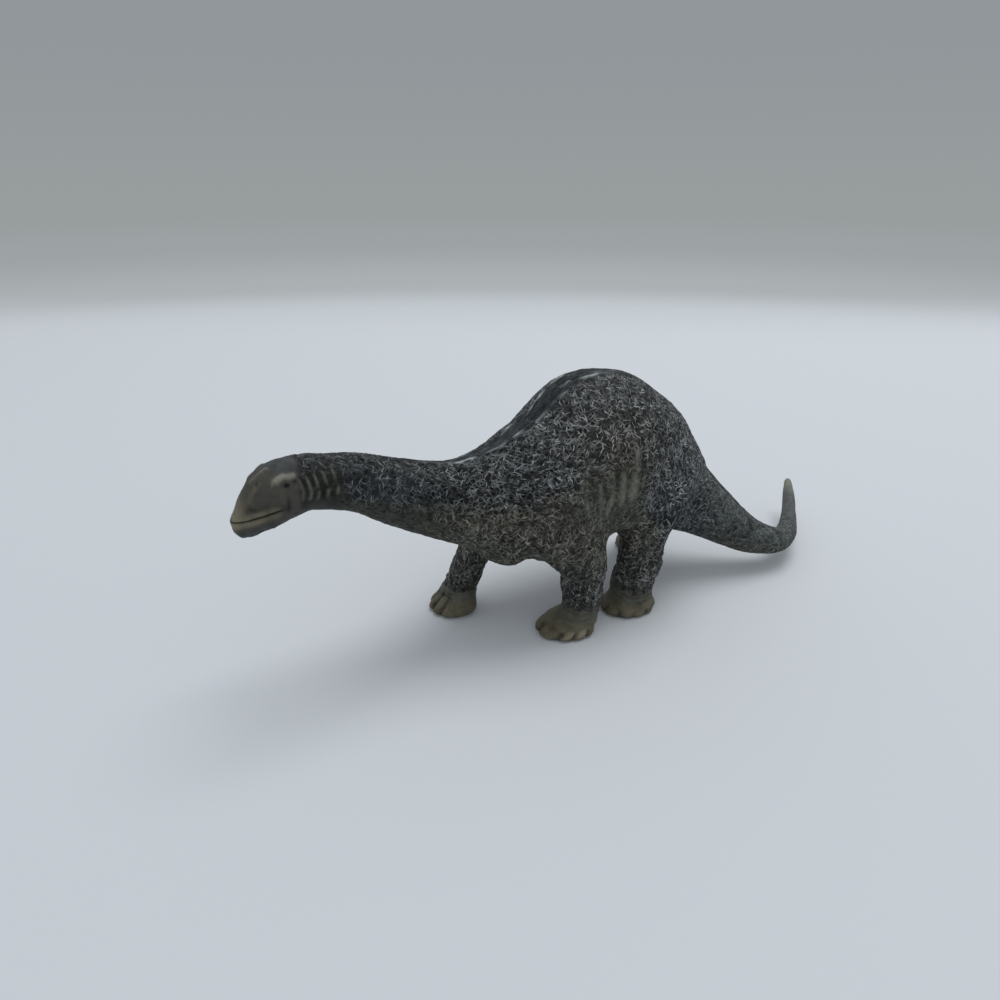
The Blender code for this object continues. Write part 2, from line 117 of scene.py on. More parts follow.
# Stations of the spine, as shares: reach, sweep, height, half width, rise and drop
HEAD_SHARES = (
    (1.00, 0.0, 0.660, 0.105, 0.095, 0.09),
    (0.955, 0.0, 0.666, 0.22, 0.21, 0.17),
    (0.84, 0.0, 0.683, 0.31, 0.325, 0.25),
    (0.645, 0.0, 0.717, 0.40, 0.50, 0.35),
    (0.42, 0.0, 0.753, 0.475, 0.60, 0.41),
    (0.20, 0.0, 0.772, 0.50, 0.55, 0.42),
)
NECK_SHARES = (
    (1.00, 0.0, 0.771, 0.31, 0.37, 0.32),
    (0.75, 0.0, 0.739, 0.335, 0.385, 0.35),
    (0.50, 0.0, 0.691, 0.40, 0.385, 0.467),
    (0.23, 0.0, 0.628, 0.50, 0.45, 0.517),
)
TRUNK_SHARES = (
    (0.00, 0.0, 0.585, 0.306, 0.24, 0.26),
    (0.16, 0.0, 0.565, 0.41, 0.305, 0.41),
    (0.30, 0.0, 0.570, 0.475, 0.40, 0.415),
    (0.46, 0.0, 0.575, 0.50, 0.59, 0.425),
    (0.63, 0.0, 0.585, 0.50, 0.61, 0.39),
    (0.79, 0.0, 0.550, 0.46, 0.51, 0.355),
    (0.905, 0.0, 0.495, 0.40, 0.405, 0.32),
    (1.00, 0.0, 0.430, 0.34, 0.325, 0.285),
)
TAIL_SHARES = (
    (0.065, -0.10, 0.372, 0.417, 0.453, 0.42),
    (0.175, -0.33, 0.290, 0.333, 0.35, 0.315),
    (0.283, -0.61, 0.213, 0.262, 0.256, 0.256),
    (0.396, -0.88, 0.150, 0.207, 0.186, 0.205),
    (0.50, -1.00, 0.120, 0.167, 0.145, 0.151),
    (0.613, -0.85, 0.106, 0.129, 0.107, 0.112),
    (0.764, -0.42, 0.106, 0.095, 0.084, 0.084),
    (0.915, 0.135, 0.145, 0.069, 0.067, 0.067),
    (1.00, 0.48, 0.184, 0.043, 0.042, 0.042),
)
SPINE_REGIONS = ((HEAD_SHARES, HEAD), (NECK_SHARES, NECK), (TRUNK_SHARES, TRUNK), (TAIL_SHARES, TAIL))
HEAD_JOINT = len(HEAD_SHARES)
NECK_JOINT = HEAD_JOINT + len(NECK_SHARES)
TAIL_JOINT = NECK_JOINT + len(TRUNK_SHARES) - 1

# Sections of a leg, as shares: level, half width, front, back, then the place of its centre
# along the trunk and across the track
LEFT_FORELEG_SHARES = (
    (1.00, 0.455, 0.50, 0.50, 0.32, 0.405),
    (0.767, 0.50, 0.547, 0.453, 0.358, 0.50),
    (0.567, 0.432, 0.375, 0.344, 0.392, 0.524),
    (0.417, 0.39, 0.25, 0.29, 0.406, 0.548),
    (0.217, 0.39, 0.238, 0.27, 0.425, 0.536),
    (0.117, 0.455, 0.34, 0.30, 0.40, 0.512),
    (0.033, 0.545, 0.48, 0.33, 0.375, 0.50),
    (0.00, 0.51, 0.455, 0.312, 0.374, 0.50),
)
RIGHT_FORELEG_SHARES = (
    (1.00, 0.455, 0.50, 0.50, 0.264, 0.405),
    (0.767, 0.50, 0.50, 0.40, 0.231, 0.41),
    (0.567, 0.432, 0.35, 0.31, 0.175, 0.40),
    (0.417, 0.39, 0.26, 0.27, 0.127, 0.40),
    (0.217, 0.38, 0.23, 0.26, 0.071, 0.41),
    (0.117, 0.43, 0.26, 0.28, 0.047, 0.414),
    (0.033, 0.50, 0.36, 0.30, 0.038, 0.414),
    (0.00, 0.47, 0.335, 0.285, 0.038, 0.414),
)
LEFT_HINDLEG_SHARES = (
    (1.00, 0.40, 0.36, 0.30, 0.86, 0.29),
    (0.85, 0.50, 0.47, 0.40, 0.845, 0.38),
    (0.70, 0.50, 0.458, 0.389, 0.815, 0.452),
    (0.52, 0.417, 0.347, 0.264, 0.745, 0.488),
    (0.333, 0.383, 0.278, 0.25, 0.717, 0.50),
    (0.167, 0.371, 0.258, 0.25, 0.689, 0.512),
    (0.091, 0.417, 0.306, 0.278, 0.682, 0.512),
    (0.030, 0.479, 0.389, 0.333, 0.679, 0.50),
    (0.00, 0.45, 0.367, 0.311, 0.679, 0.50),
)
RIGHT_HINDLEG_SHARES = (
    (1.00, 0.40, 0.36, 0.30, 0.86, 0.29),
    (0.85, 0.50, 0.45, 0.40, 0.865, 0.38),
    (0.70, 0.50, 0.42, 0.389, 0.89, 0.452),
    (0.52, 0.417, 0.31, 0.30, 0.94, 0.476),
    (0.333, 0.383, 0.25, 0.25, 1.00, 0.483),
    (0.167, 0.371, 0.24, 0.24, 1.04, 0.483),
    (0.091, 0.417, 0.27, 0.26, 1.05, 0.483),
    (0.030, 0.479, 0.32, 0.30, 1.05, 0.483),
    (0.00, 0.45, 0.295, 0.28, 1.05, 0.483),
)
# Ends of the mouth line on the middle plane, as shares of the head's length and the back
MOUTH_FRONT_SHARES = (1.0, 0.703)
MOUTH_REAR_SHARES = (0.50, 0.738)

# Where the form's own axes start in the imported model: its neck joint and its middle plane
ORIGIN = np.array(
    (
        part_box("trunk_left_shell")[0].x / MM - GAP / 2,
        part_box("trunk_right_shell")[0].y / MM - GAP / 2,
        0.0,
    )
)


class Side(Enum):
    """The animal's two sides, with the sign of their Y."""

    LEFT = -1
    RIGHT = 1


def through(rows: Array, steps: int) -> Array:
    """Rows on the smooth curve that passes through the given rows.

    Each span is the cubic whose slopes at its ends are half the step between the rows'
    neighbours.

    Args:
        rows: The stations, one to a row.
        steps: How many rows a span is cut into.

    Returns:
        The rows, closer together.
    """
    ends = np.vstack((2 * rows[0] - rows[1], rows, 2 * rows[-1] - rows[-2]))
    a, b, c, d = (ends[k : len(ends) - 3 + k, None] for k in range(4))
    t = (np.arange(steps) / steps)[None, :, None]
    bend = (2 * a - 5 * b + 4 * c - d) * t**2 + (3 * b - a - 3 * c + d) * t**3
    spans = b + ((c - a) * t + bend) / 2
    return np.vstack((spans.reshape(-1, rows.shape[1]), rows[-1:]))


def at_rows(table: Array, place: Array) -> Array:
    """Rows of a table at places between its rows, mixed in a straight line.

    Args:
        table: The table.
        place: The places, counted in rows.

    Returns:
        A row for each place.
    """
    place = np.clip(place, 0, len(table) - 1.001)
    first = place.astype(int)
    share = (place - first)[..., None]
    return table[first] * (1 - share) + table[first + 1] * share


def spread(values: Array, width: float, wrap: bool = False) -> Array:
    """A row of values averaged with their neighbours by a bell of a width in steps.

    Args:
        values: The values.
        width: The bell's width.
        wrap: Whether the row closes on itself; otherwise its ends are carried on.

    Returns:
        The smoother values, as many as came in.
    """
    reach = int(3 * width)
    weights = bell(np.arange(-reach, reach + 1), 0, width)
    padded = np.pad(values, reach, mode="wrap" if wrap else "edge")
    return np.convolve(padded, weights / weights.sum(), mode="valid")


def unit(vectors: Array) -> Array:
    """Vectors brought to length 1."""
    return vectors / np.maximum(np.linalg.norm(vectors, axis=-1, keepdims=True), 1e-9)


def step_up(value: Array, low: float | Array, high: float | Array) -> Array:
    """A smooth step from 0 at low to 1 at high; low may be the larger one."""
    t = np.clip((value - low) / (high - low), 0, 1)
    return t * t * (3 - 2 * t)


def bell(value: Array, middle: float, width: float, power: int = 2) -> Array:
    """A bell: e to the minus power of the distance from its middle over its width."""
    return np.exp(-(((value - middle) / width) ** power))


def hill(points: Array, centre: tuple, radius: tuple | float) -> Array:
    """A round hill: e to the minus squared distance from its centre over its radius."""
    return np.exp(-(((points - np.array(centre)) / np.array(radius)) ** 2).sum(-1))


def mix(first: Array, second: Array, share: Array) -> Array:
    """From first to second by a share for each point."""
    return first + (second - first) * share


def within(value: Array, high: float = 1.0) -> Array:
    """A value held between nought and high."""
    return np.clip(value, 0, high)


def hashed(corner: Array, seed: int) -> Array:
    """Whole-number corners scrambled into whole numbers that look random.

    Each axis is multiplied by a large odd number. The sum is then shifted and multiplied
    until no pattern is left.

    Args:
        corner: The corners.
        seed: Which field they belong to.

    Returns:
        A number of 32 bits for each corner.
    """
    key = np.array((73856093, 19349663, 83492791), dtype=np.int64)
    h = (corner * key).sum(-1) + seed * 2654435761
    h = (h ^ (h >> 13)) & 0xFFFFFFFF
    h = (h * 1274126177) & 0xFFFFFFFF
    h = ((h ^ (h >> 16)) * 2246822519) & 0xFFFFFFFF
    return h ^ (h >> 15)


def noise(points: Array, size: float | tuple, seed: int) -> Array:
    """A smooth random field, about -1 to 1.

    Space is cut into cells. Each corner of a cell has a random slope, and the eight
    slopes' heights at a point are blended by a smooth cubic.

    Args:
        points: Where the field is wanted.
        size: A cell's size, the same each way or one for each axis.
        seed: Which field.

    Returns:
        The field at the points.
    """
    place = points / np.array(size) + seed * 17.31
    base = np.floor(place)
    inside = place - base
    base = base.astype(np.int64)
    blend = inside**3 * (inside * (inside * 6 - 15) + 10)
    total = np.zeros(points.shape[:-1])
    for corner in np.ndindex(2, 2, 2):
        h = hashed(base + np.array(corner), seed)
        slope = np.stack((h & 1023, (h >> 10) & 1023, (h >> 20) & 1023), -1) / 511.5 - 1
        share = np.prod(np.where(np.array(corner) == 1, blend, 1 - blend), -1)
        total += share * (slope * (inside - np.array(corner))).sum(-1)
    return total * 1.6


def ridges(points: Array, size: float | tuple, seed: int, sharp: float = 0.16) -> Array:
    """Winding ridges, 0 to 1, where a noise field passes through nought."""
    return 1 - within(np.abs(noise(points, size, seed)) / sharp) ** 1.4


def linear(code: str) -> Array:
    """An sRGB hex colour as linear light."""
    value = np.array([int(code[k : k + 2], 16) for k in (1, 3, 5)]) / 255
    return np.where(value <= 0.04045, value / 12.92, ((value + 0.055) / 1.055) ** 2.4)


@dataclass
class SpineForm:
    """The smooth form from snout to tail tip: egg-shaped rings square to a curved path."""

    steps: int = 24
    # Over how many stations the heading is smoothed, and how long the inset takes to run out
    heading_spread: float = 0.8
    inset_run: float = 30.0
    # How often a place is stepped on, and by what share of what is left
    plane_rounds: int = 40
    plane_share: float = 0.35
    locate_rounds: int = 5
    table: Array = field(init=False)
    reach: Array = field(init=False)

    def __post_init__(self) -> None:
        """Works out the path, its directions and the ring sizes, close together."""
        stations = []
        for shares, (start, length, width, depth) in SPINE_REGIONS:
            for along, sweep, height, half, rise, drop in shares:
                centre = (start + along * length, sweep * TAIL_SWEEP, height * BACK_HEIGHT)
                stations.append((*centre, half * width, rise * depth, drop * depth))
        rows = through(np.array(stations), self.steps)
        rows[:, :3] += ORIGIN
        ahead = unit(np.gradient(rows[:, :3], axis=0))
        # Unsmoothed, the heading turns so fast at the tail that the rings shear
        heading = spread(np.arctan2(ahead[:, 1], ahead[:, 0]), self.steps * self.heading_spread)
        # Sideways is the animal's left, where a ring's angle is nought
        side = np.stack((np.sin(heading), -np.cos(heading), 0 * heading), -1)
        top = unit(np.cross(side, ahead))
        tip = rows[-1, 0]
        inset = INSET * step_up(rows[:, :1], tip, tip - self.inset_run)
        lengths = np.linalg.norm(np.diff(rows[:, :3], axis=0), axis=1)
        self.reach = np.concatenate(((0,), np.cumsum(lengths)))
        bend = np.gradient(ahead, self.reach, axis=0)
        self.table = np.hstack((rows[:, :3], side, top, ahead, rows[:, 3:] - inset, bend))

    def ring(self, place: Array, angle: Array) -> tuple[Array, Array]:
        """Points of the form and the directions outward from them.

        A point is the path's centre, plus the cosine of the angle times the half width
        sideways, plus its sine times the rise or the drop along the ring's own up.

        Args:
            place: Places along the path, as rows of the table.
            angle: Angles round it; nought is the left side and a quarter turn the top.

        Returns:
            The points and the outward directions.
        """
        row = at_rows(self.table, place)
        side, top = row[..., SIDEWAYS], row[..., UPWARD]
        wide = row[..., HALF, None]
        high = np.where(np.sin(angle) > 0, row[..., RISE], row[..., DROP])[..., None]
        aside, above = np.cos(angle)[..., None], np.sin(angle)[..., None]
        point = row[..., :3] + aside * wide * side + above * high * top
        return point, unit(aside * high * side + above * wide * top)

    def joint(self, station: int) -> float:
        """The X of an upright joint between two pieces."""
        return float(self.table[station * self.steps, 0])

    def place_at(self, guess: Array, angle: Array, point: Array, normal: Array) -> Array:
        """Where on each angle the form crosses a plane, found by stepping by what is left.

        Args:
            guess: First guesses of the places.
            angle: The angles.
            point: A point of the plane.
            normal: The plane's direction, roughly along the path.

        Returns:
            The places.
        """
        order = np.arange(len(self.reach))
        place = guess + np.zeros_like(angle)
        for _ in range(self.plane_rounds):
            here = self.ring(place, angle)[0]
            left = ((point - here) * normal).sum(-1)
            ahead = at_rows(self.table, place)[..., ONWARD]
            along = np.interp(place, order, self.reach)
            along += self.plane_share * left / (ahead * normal).sum(-1)
            place = np.interp(along, self.reach, order)
        return place

    def locate(self, points: Array) -> tuple[Array, Array, Array, Array]:
        """Points measured against the path and the form.

        A place is stepped along the path until the point lies square to it. The distance
        out is the distance from the path, less the part of it inside the ring.

        Args:
            points: The points.

        Returns:
            Their places, their offsets aside and up, and how far outside the form they are.
        """
        order = np.arange(len(self.reach))
        along = np.interp(points[..., 0], self.table[:, 0], self.reach)
        for _ in range(self.locate_rounds):
            row = at_rows(self.table, np.interp(along, self.reach, order))
            offset = points - row[..., :3]
            left = (offset * row[..., ONWARD]).sum(-1)
            slope = 1 - (offset * row[..., BEND]).sum(-1)
            along = along + left / np.clip(slope, 0.6, 4.0)
        place = np.interp(along, self.reach, order)
        row = at_rows(self.table, place)
        offset = points - row[..., :3]
        aside = (offset * row[..., SIDEWAYS]).sum(-1)
        above = (offset * row[..., UPWARD]).sum(-1)
        high = np.where(above > 0, row[..., RISE], row[..., DROP])
        far = np.hypot(aside, above)
        stretch = np.hypot(aside / row[..., HALF], above / high)
        return place, aside, above, far - far / np.maximum(stretch, 1e-6)

    def distance(self, points: Array) -> Array:
        """How far outside the form points are; inside is below nought."""
        return self.locate(points)[3]


@dataclass
class LegForm:
    """The smooth form of one leg: level rings round a centre line."""

    shares: tuple
    height: float
    width: float
    depth: float
    side: Side
    steps: int = 16
    table: Array = field(init=False)

    def __post_init__(self) -> None:
        """Works out the rings from the sole up, close together."""
        stations = []
        for level, half, front, back, along, out in self.shares:
            centre = (along * TRUNK[1], self.side.value * out * TRACK, level * self.height)
            sizes = (half * self.width, front * self.depth, back * self.depth)
            stations.append((*centre, *sizes))
        self.table = through(np.array(stations), self.steps)[::-1].copy()
        self.table[:, :3] += ORIGIN
        self.table[:, 3:] -= INSET

    def place_at(self, level: Array) -> Array:
        """The rows of the table at given levels."""
        return np.interp(level, self.table[:, 2], np.arange(len(self.table)))

    def ring(self, level: Array, angle: Array) -> tuple[Array, Array]:
        """Points of the form and the level directions outward from them.

        A point is the centre at its level, less the sine of the angle times the front or
        the back along X, plus its cosine times the half width along Y.

        Args:
            level: Heights above the floor.
            angle: Angles round the leg; a quarter turn is the front.

        Returns:
            The points and the outward directions.
        """
        row = at_rows(self.table, self.place_at(level))
        ahead, aside = np.sin(angle), np.cos(angle)
        deep = np.where(ahead > 0, row[..., LEG_FRONT], row[..., LEG_BACK])
        wide = row[..., LEG_HALF]
        point = np.stack((row[..., 0] - ahead * deep, row[..., 1] + aside * wide, level), -1)
        return point, unit(np.stack((-ahead * wide, aside * deep, np.zeros_like(ahead)), -1))

    def distance(self, points: Array) -> Array:
        """How far outside the leg points are; a dome of DOME height closes its top.

        It is the distance from the centre line, less the part of it inside the ring. Over
        the leg's top the ring shrinks by the quarter circle of the dome.

        Args:
            points: The points.

        Returns:
            Their distances; inside is below nought.
        """
        row = at_rows(self.table, self.place_at(points[..., 2]))
        ahead = row[..., 0] - points[..., 0]
        aside = points[..., 1] - row[..., 1]
        deep = np.where(ahead > 0, row[..., LEG_FRONT], row[..., LEG_BACK])
        far = np.hypot(ahead, aside)
        stretch = np.hypot(ahead / deep, aside / row[..., LEG_HALF])
        above = np.maximum(points[..., 2] - self.table[-1, 2], 0)
        dome = np.sqrt(within(1 - (above / DOME) ** 2))
        beyond = np.maximum(above - DOME, 0)
        return far - dome * far / np.maximum(stretch, 1e-6) + beyond


def flow_over(points: Array, out: Array, away_from: Callable[[Array], Array]) -> Array:
    """Moves a form's points out to the fillet that it makes with another form.

    On the fillet the roots of the two distances add up to the root of its size. Past its
    middle the other form's skin shows, and this one dips under it.

    Args:
        points: Points of the form.
        out: Their outward directions.
        away_from: Gives the distance outside the other form.

    Returns:
        The moved points.
    """
    lift = np.zeros(points.shape[:-1])
    middle = FILLET / 4
    for _ in range(8):
        away = away_from(points + out * lift[..., None])
        shown = (np.sqrt(FILLET) - np.sqrt(np.clip(away, middle, FILLET))) ** 2
        past = np.maximum(middle - away, 0)
        hidden = middle + past - 2.4 * past**2 / FILLET
        goal = np.where(away >= middle, shown, np.maximum(hidden, -SUNK))
        lift = lift + 0.7 * (goal - lift)
    return points + out * lift[..., None]


@dataclass(frozen=True)
class Fold:
    """A fold along a line on the left side; the right side has its mirror image."""

    line: tuple
    height: float
    width: float

    def share(self, points: Array) -> Array:
        """How much of the fold a point has: a bell over the distance to its line.

        Args:
            points: The points, turned over to the left side.

        Returns:
            Shares, 0 to 1.
        """
        nearest = np.full(points.shape[:-1], np.inf)
        for start, end in zip(self.line, self.line[1:]):
            start, run = np.array(start), np.subtract(end, start)
            t = within(((points - start) @ run) / (run @ run))
            away = np.linalg.norm(points - start - t[..., None] * run, axis=-1)
            nearest = np.minimum(nearest, away)
        return bell(nearest, 0, self.width)


# Soft folds that hang down the flank
FLANK_FOLDS = (
    Fold(((-0.6, -27.9, 78.0), (-1.4, -29.6, 71.0), (-3.3, -30.4, 61.0)), 1.0, 1.7),
    Fold(((3.9, -29.4, 70.5), (2.6, -30.0, 66.0), (0.3, -30.4, 60.0)), 0.6, 1.0),
    Fold(((-8.0, -29.8, 70.0), (-8.2, -30.3, 64.0), (-9.2, -30.4, 57.5)), 0.8, 1.3),
    Fold(((-13.6, -29.5, 66.0), (-14.2, -30.2, 60.0), (-15.6, -30.4, 54.4)), 0.6, 1.2),
    Fold(((-19.4, -28.9, 68.0), (-18.4, -29.8, 61.0), (-18.6, -29.6, 50.1)), 0.5, 1.0),
    Fold(((-27.1, -27.8, 69.2), (-24.6, -29.6, 58.1), (-22.9, -29.4, 51.1)), 0.6, 0.9),
)
# Creases round the hip, the shoulder and the chest
BODY_CREASES = (
    Fold(((4.6, -29.4, 71.8), (3.4, -29.7, 64.0), (0.1, -28.9, 52.1)), -0.7, 1.2),
    Fold(((2.7, -30.4, 60.1), (-2.4, -29.4, 53.0), (-7.1, -27.5, 47.4)), -0.8, 1.3),
    Fold(((-43.5, -23.0, 70.0), (-38.0, -26.0, 64.5), (-31.5, -28.5, 59.5)), -0.5, 0.9),
    Fold(((-40.5, -25.5, 71.0), (-34.5, -27.5, 66.0), (-28.0, -29.0, 63.0)), 0.45, 1.2),
    Fold(
        ((-42.0, -12.0, 35.5), (-43.8, -19.4, 40.0), (-45.3, -23.6, 48.0), (-43.4, -25.6, 55.2)),
        -0.9,
        1.3,
    ),
    Fold(((-38.0, -15.0, 34.0), (-38.6, -21.5, 38.0), (-39.6, -25.4, 45.0)), 1.2, 2.4),
)
# Swellings that the smooth form lacks: centre, radius and height, each on its own side
SWELLINGS = (
    # Elbow and forearm of the left foreleg
    ((-12.6, -24.0, 33.5), (6.0, 9.0, 6.0), 1.4),
    ((-12.0, -27.5, 26.0), (6.0, 8.0, 6.0), 1.6),
    ((-26.0, -17.0, 18.5), (6.0, 8.0, 8.5), 1.9),
    # Calf and shin of the left hind leg
    ((14.5, -25.0, 21.0), (6.0, 10.0, 7.5), 2.2),
    ((-1.0, -22.0, 27.0), (6.0, 9.0, 7.0), 0.7),
    # Instep of the left hind leg
    ((0.5, -16.0, 14.5), (6.0, 8.0, 6.0), 2.0),
    # Elbow of the right foreleg
    ((-37.0, 16.0, 33.0), (6.0, 9.0, 6.0), 2.2),
    # Chest between the forelegs
    ((-51.0, -8.0, 32.5), (9.0, 13.0, 8.0), 1.3),
    # Notch between the chest and the left upper arm, and the arm's front under it
    ((-40.8, -13.0, 34.0), (3.0, 5.0, 4.5), -2.9),
    ((-33.0, -18.5, 32.0), (5.0, 6.0, 4.6), 2.3),
    # Narrow wrist of the left foreleg
    ((-17.0, -27.0, 12.5), (5.0, 8.0, 3.5), -0.8),
)
# Places along the neck of the ring folds behind the head
RING_PLACES = (-127.1, -124.3, -121.5, -118.3, -114.9)
RING_FOLDS = tuple(
    Fold(
        (
            (x - 1.6, 0.6, 90.6), (x - 1.2, -3.6, 88.4), (x - 0.2, -7.8, 84.6),
            (x + 0.5, -9.2, 81.4), (x - 0.1, -8.0, 78.4), (x - 1.5, -5.2, 75.8),
        ),
        1.0,
        0.66,
    )
    for x in RING_PLACES
)
BROW = Fold(((-134.6, -5.8, 86.0), (-132.0, -6.5, 87.4), (-129.2, -7.1, 87.4)), 0.6, 1.35)
CREST = Fold(((-141.8, -1.4, 85.8), (-139.4, -1.6, 88.1), (-136.4, -1.7, 89.4)), 0.55, 0.7)
SNOUT_EDGE = Fold(((-140.2, -4.2, 85.6), (-143.6, -4.5, 81.0), (-146.6, -4.0, 76.8)), 0.5, 1.0)
CHEEK_EDGE = Fold(((-131.6, -8.8, 80.4), (-131.9, -8.0, 76.0)), -0.45, 0.8)
JAW_LUMP = Fold(((-137.6, -5.0, 71.0), (-134.8, -5.6, 73.0)), 1.3, 1.5)
CHIN_DIP = Fold(((-140.8, -3.6, 69.0), (-140.0, 0.0, 68.6)), -1.2, 1.2)
EYE = (-131.4, -7.8, 84.7)
# Where a painted shadow under the brow lies, behind and above the eye
BROW_SHADOW = (-128.7, -8.6, 85.6)
NOSTRIL = (-140.3, -3.6, 85.6)
NOSTRIL_RADIUS = (0.7, 1.0, 1.3)
# Dark spots on the face: the eye, the nostril and a painted shadow under the brow. Each has a
# place, radius and share, and the low and high end of the step that gives each its edge
DARK_SPOTS = (
    (EYE, (1.15, 1.5, 0.8), 0.95, 0.2, 0.7),
    (BROW_SHADOW, (1.2, 2.0, 0.8), 0.9, 0.2, 0.8),
    (NOSTRIL, NOSTRIL_RADIUS, 0.5, 0.3, 0.8),
)
# The mouth line's rear and front end, and the directions along it and up from it
MOUTH_PLACE, MOUTH_END = (
    np.array((HEAD[0] + along * HEAD[1], 0, height * BACK_HEIGHT)) + ORIGIN
    for along, height in (MOUTH_REAR_SHARES, MOUTH_FRONT_SHARES)
)
MOUTH_AHEAD = unit(MOUTH_END - MOUTH_PLACE)
MOUTH_UP = np.cross((0, 1, 0), MOUTH_AHEAD)
MOUTH_UP *= np.sign(MOUTH_UP[2])
# The smoother strip along the back: places along X, its drift to the right, its half width
BAND_PLACES = (-96.0, -75.0, -58.0, -44.0, -30.0, -20.0, -4.0, 20.0, 45.0, 100.0)
BAND_DRIFT = (0.0, 1.6, 3.0, 3.4, 2.8, 1.6, 0.6, 0.0, 0.0, 0.0)
BAND_HALF = (1.2, 3.2, 4.4, 5.4, 6.5, 7.1, 6.2, 4.8, 3.4, 0.8)
# Up to which height the sides are olive, at places along X
OLIVE_PLACES = (
    -120.0, -108.0, -95.0, -83.0, -70.0, -58.0, -44.0, -33.0, -22.0, -8.0, 0.0, 5.0, 20.0,
)
OLIVE_HEIGHT = (75.0, 74.5, 70.5, 66.0, 64.0, 63.5, 63.5, 66.0, 70.0, 73.5, 73.0, 52.0, 36.0)


@dataclass(frozen=True)
class Foot:
    """How one foot is modelled, in mm."""

    # Height of the smooth part, and how much higher it reaches on the inner front
    height: float
    instep: float
    # How far the ankle is drawn in at the front
    waist: float
    # Depth and height of the grooves between the toes, and how far the toes swell
    groove: float
    groove_height: float
    swell: float
    # For each toe its turn from straight ahead outwards in degrees, its half width as an
    # angle in radians, and how much of its nail shows
    toes: tuple[tuple[float, float, float], ...]
    # The nail's and the toe's middle and half height, and the nail's half width in radians
    nail_level: float = 2.9
    nail_reach: float = 1.9
    nail_half: float = 0.165
    # The waist's level and half height, and the radius of the sole's rim
    waist_level: float = 7.6
    waist_reach: float = 2.6
    rim: float = 1.3


HIND_TOES = (
    (-14.0, 0.26, 0.0), (20.0, 0.28, 0.1), (52.0, 0.25, 0.4), (80.0, 0.23, 0.5), (106.0, 0.2, 0.1),
)
FEET = {
    "left_foreleg": Foot(
        11.4, 0.0, 2.4, 0.8, 4.6, 0.8,
        (
            (-30.0, 0.30, 0.0), (16.0, 0.38, 0.15), (56.0, 0.20, 1.0), (80.0, 0.20, 1.0),
            (104.0, 0.2, 0.1),
        ),
    ),
    "right_foreleg": Foot(
        11.2, 0.0, 0.6, 1.2, 9.5, 0.5,
        (
            (-46.0, 0.24, 0.1), (-14.0, 0.23, 0.1), (18.0, 0.23, 0.1), (50.0, 0.23, 0.3),
            (80.0, 0.22, 0.3),
        ),
    ),
    "left_hindleg": Foot(10.6, 6.0, 0.2, 0.45, 4.2, 0.2, HIND_TOES),
    "right_hindleg": Foot(10.6, 3.0, 0.2, 0.45, 4.2, 0.2, HIND_TOES),
}


@dataclass(frozen=True)
class Coat:
    """One paint scheme: the dark wash in the hollows, the skin and the brush on the ridges."""

    wash: str
    skin: str
    brush: str
    # How much of the stroke texture shows, and how much wash lies on the skin
    strokes: float
    stain: float

    def row(self) -> Array:
        """The three colours as linear light, then the two shares."""
        colours = [linear(code) for code in (self.wash, self.skin, self.brush)]
        return np.concatenate((*colours, (self.strokes, self.stain)))


HIDE = Coat("#050708", "#171b1e", "#a8aeb1", 1.0, 0.24)
SHOULDER = Coat("#020304", "#090b0c", "#9ba1a4", 1.0, 0.38)
WARM = Coat("#070807", "#20201e", "#aeaca3", 1.0, 0.20)
NAPE = Coat("#070a0c", "#1b2024", "#9aa1a4", 0.62, 0.26)
LEG = Coat("#060808", "#212425", "#acb1b3", 0.90, 0.20)
TAIL_HIDE = Coat("#121515", "#464c4c", "#9ca2a2", 0.55, 0.08)
BAND = Coat("#090b0e", "#1e2529", "#8a9396", 0.30, 0.24)
# Painted highlights: pale glints laid along the back strip's lip and in spots on the strip
BAND_GLINT = Coat("#4a5256", "#aab3b6", "#bcc5c8", 0.2, 0.0)
OLIVE = Coat("#0e0f0b", "#43433a", "#aaa89b", 0.80, 0.14)
FLANK = Coat("#1b1c16", "#50514a", "#93938a", 0.40, 0.04)
FOLD = Coat("#3a3b34", "#7b7c71", "#93938a", 0.16, 0.0)
THROAT = Coat("#151714", "#363935", "#71746c", 0.10, 0.14)
RING = Coat("#181a15", "#3e403a", "#66675f", 0.0, 0.0)
RING_RIDGE = Coat("#2b2d28", "#5f615a", "#6f7168", 0.0, 0.0)
FACE = Coat("#252421", "#474641", "#67655d", 0.0, 0.06)
CROWN = Coat("#202325", "#414547", "#5d6264", 0.0, 0.08)
SNOUT = Coat("#3f3b2c", "#7c7663", "#8c8672", 0.0, 0.04)
PALE_BROW = Coat("#55534a", "#817f75", "#96948b", 0.0, 0.0)
CHIN = Coat("#202325", "#404342", "#585b5a", 0.0, 0.08)
# Near black for the eye and the nostril, and for the painted shadow under the brow
DARK_EYE_NOSTRIL_AND_SHADOW = Coat("#080807", "#0d0c0b", "#141312", 0.0, 0.0)
MOUTH_LINE = Coat("#12120c", "#1c1c14", "#28281e", 0.0, 0.0)
FOOT = Coat("#24221a", "#615d4d", "#7b7767", 0.0, 0.04)
INSTEP = Coat("#20211e", "#55564e", "#706f67", 0.0, 0.06)
NAIL = Coat("#524e3e", "#7d7866", "#878170", 0.0, 0.0)
TAIL_END = Coat("#2e3233", "#56595a", "#7a7e7e", 0.16, 0.10)
TAIL_TIP = Coat("#3f4239", "#747a6c", "#8c9182", 0.05, 0.04)


def on_left(points: Array) -> Array:
    """The points with those of the right side turned over to the left."""
    aside = -np.abs(points[..., 1] - ORIGIN[1]) + ORIGIN[1]
    return np.stack((points[..., 0], aside, points[..., 2]), -1)


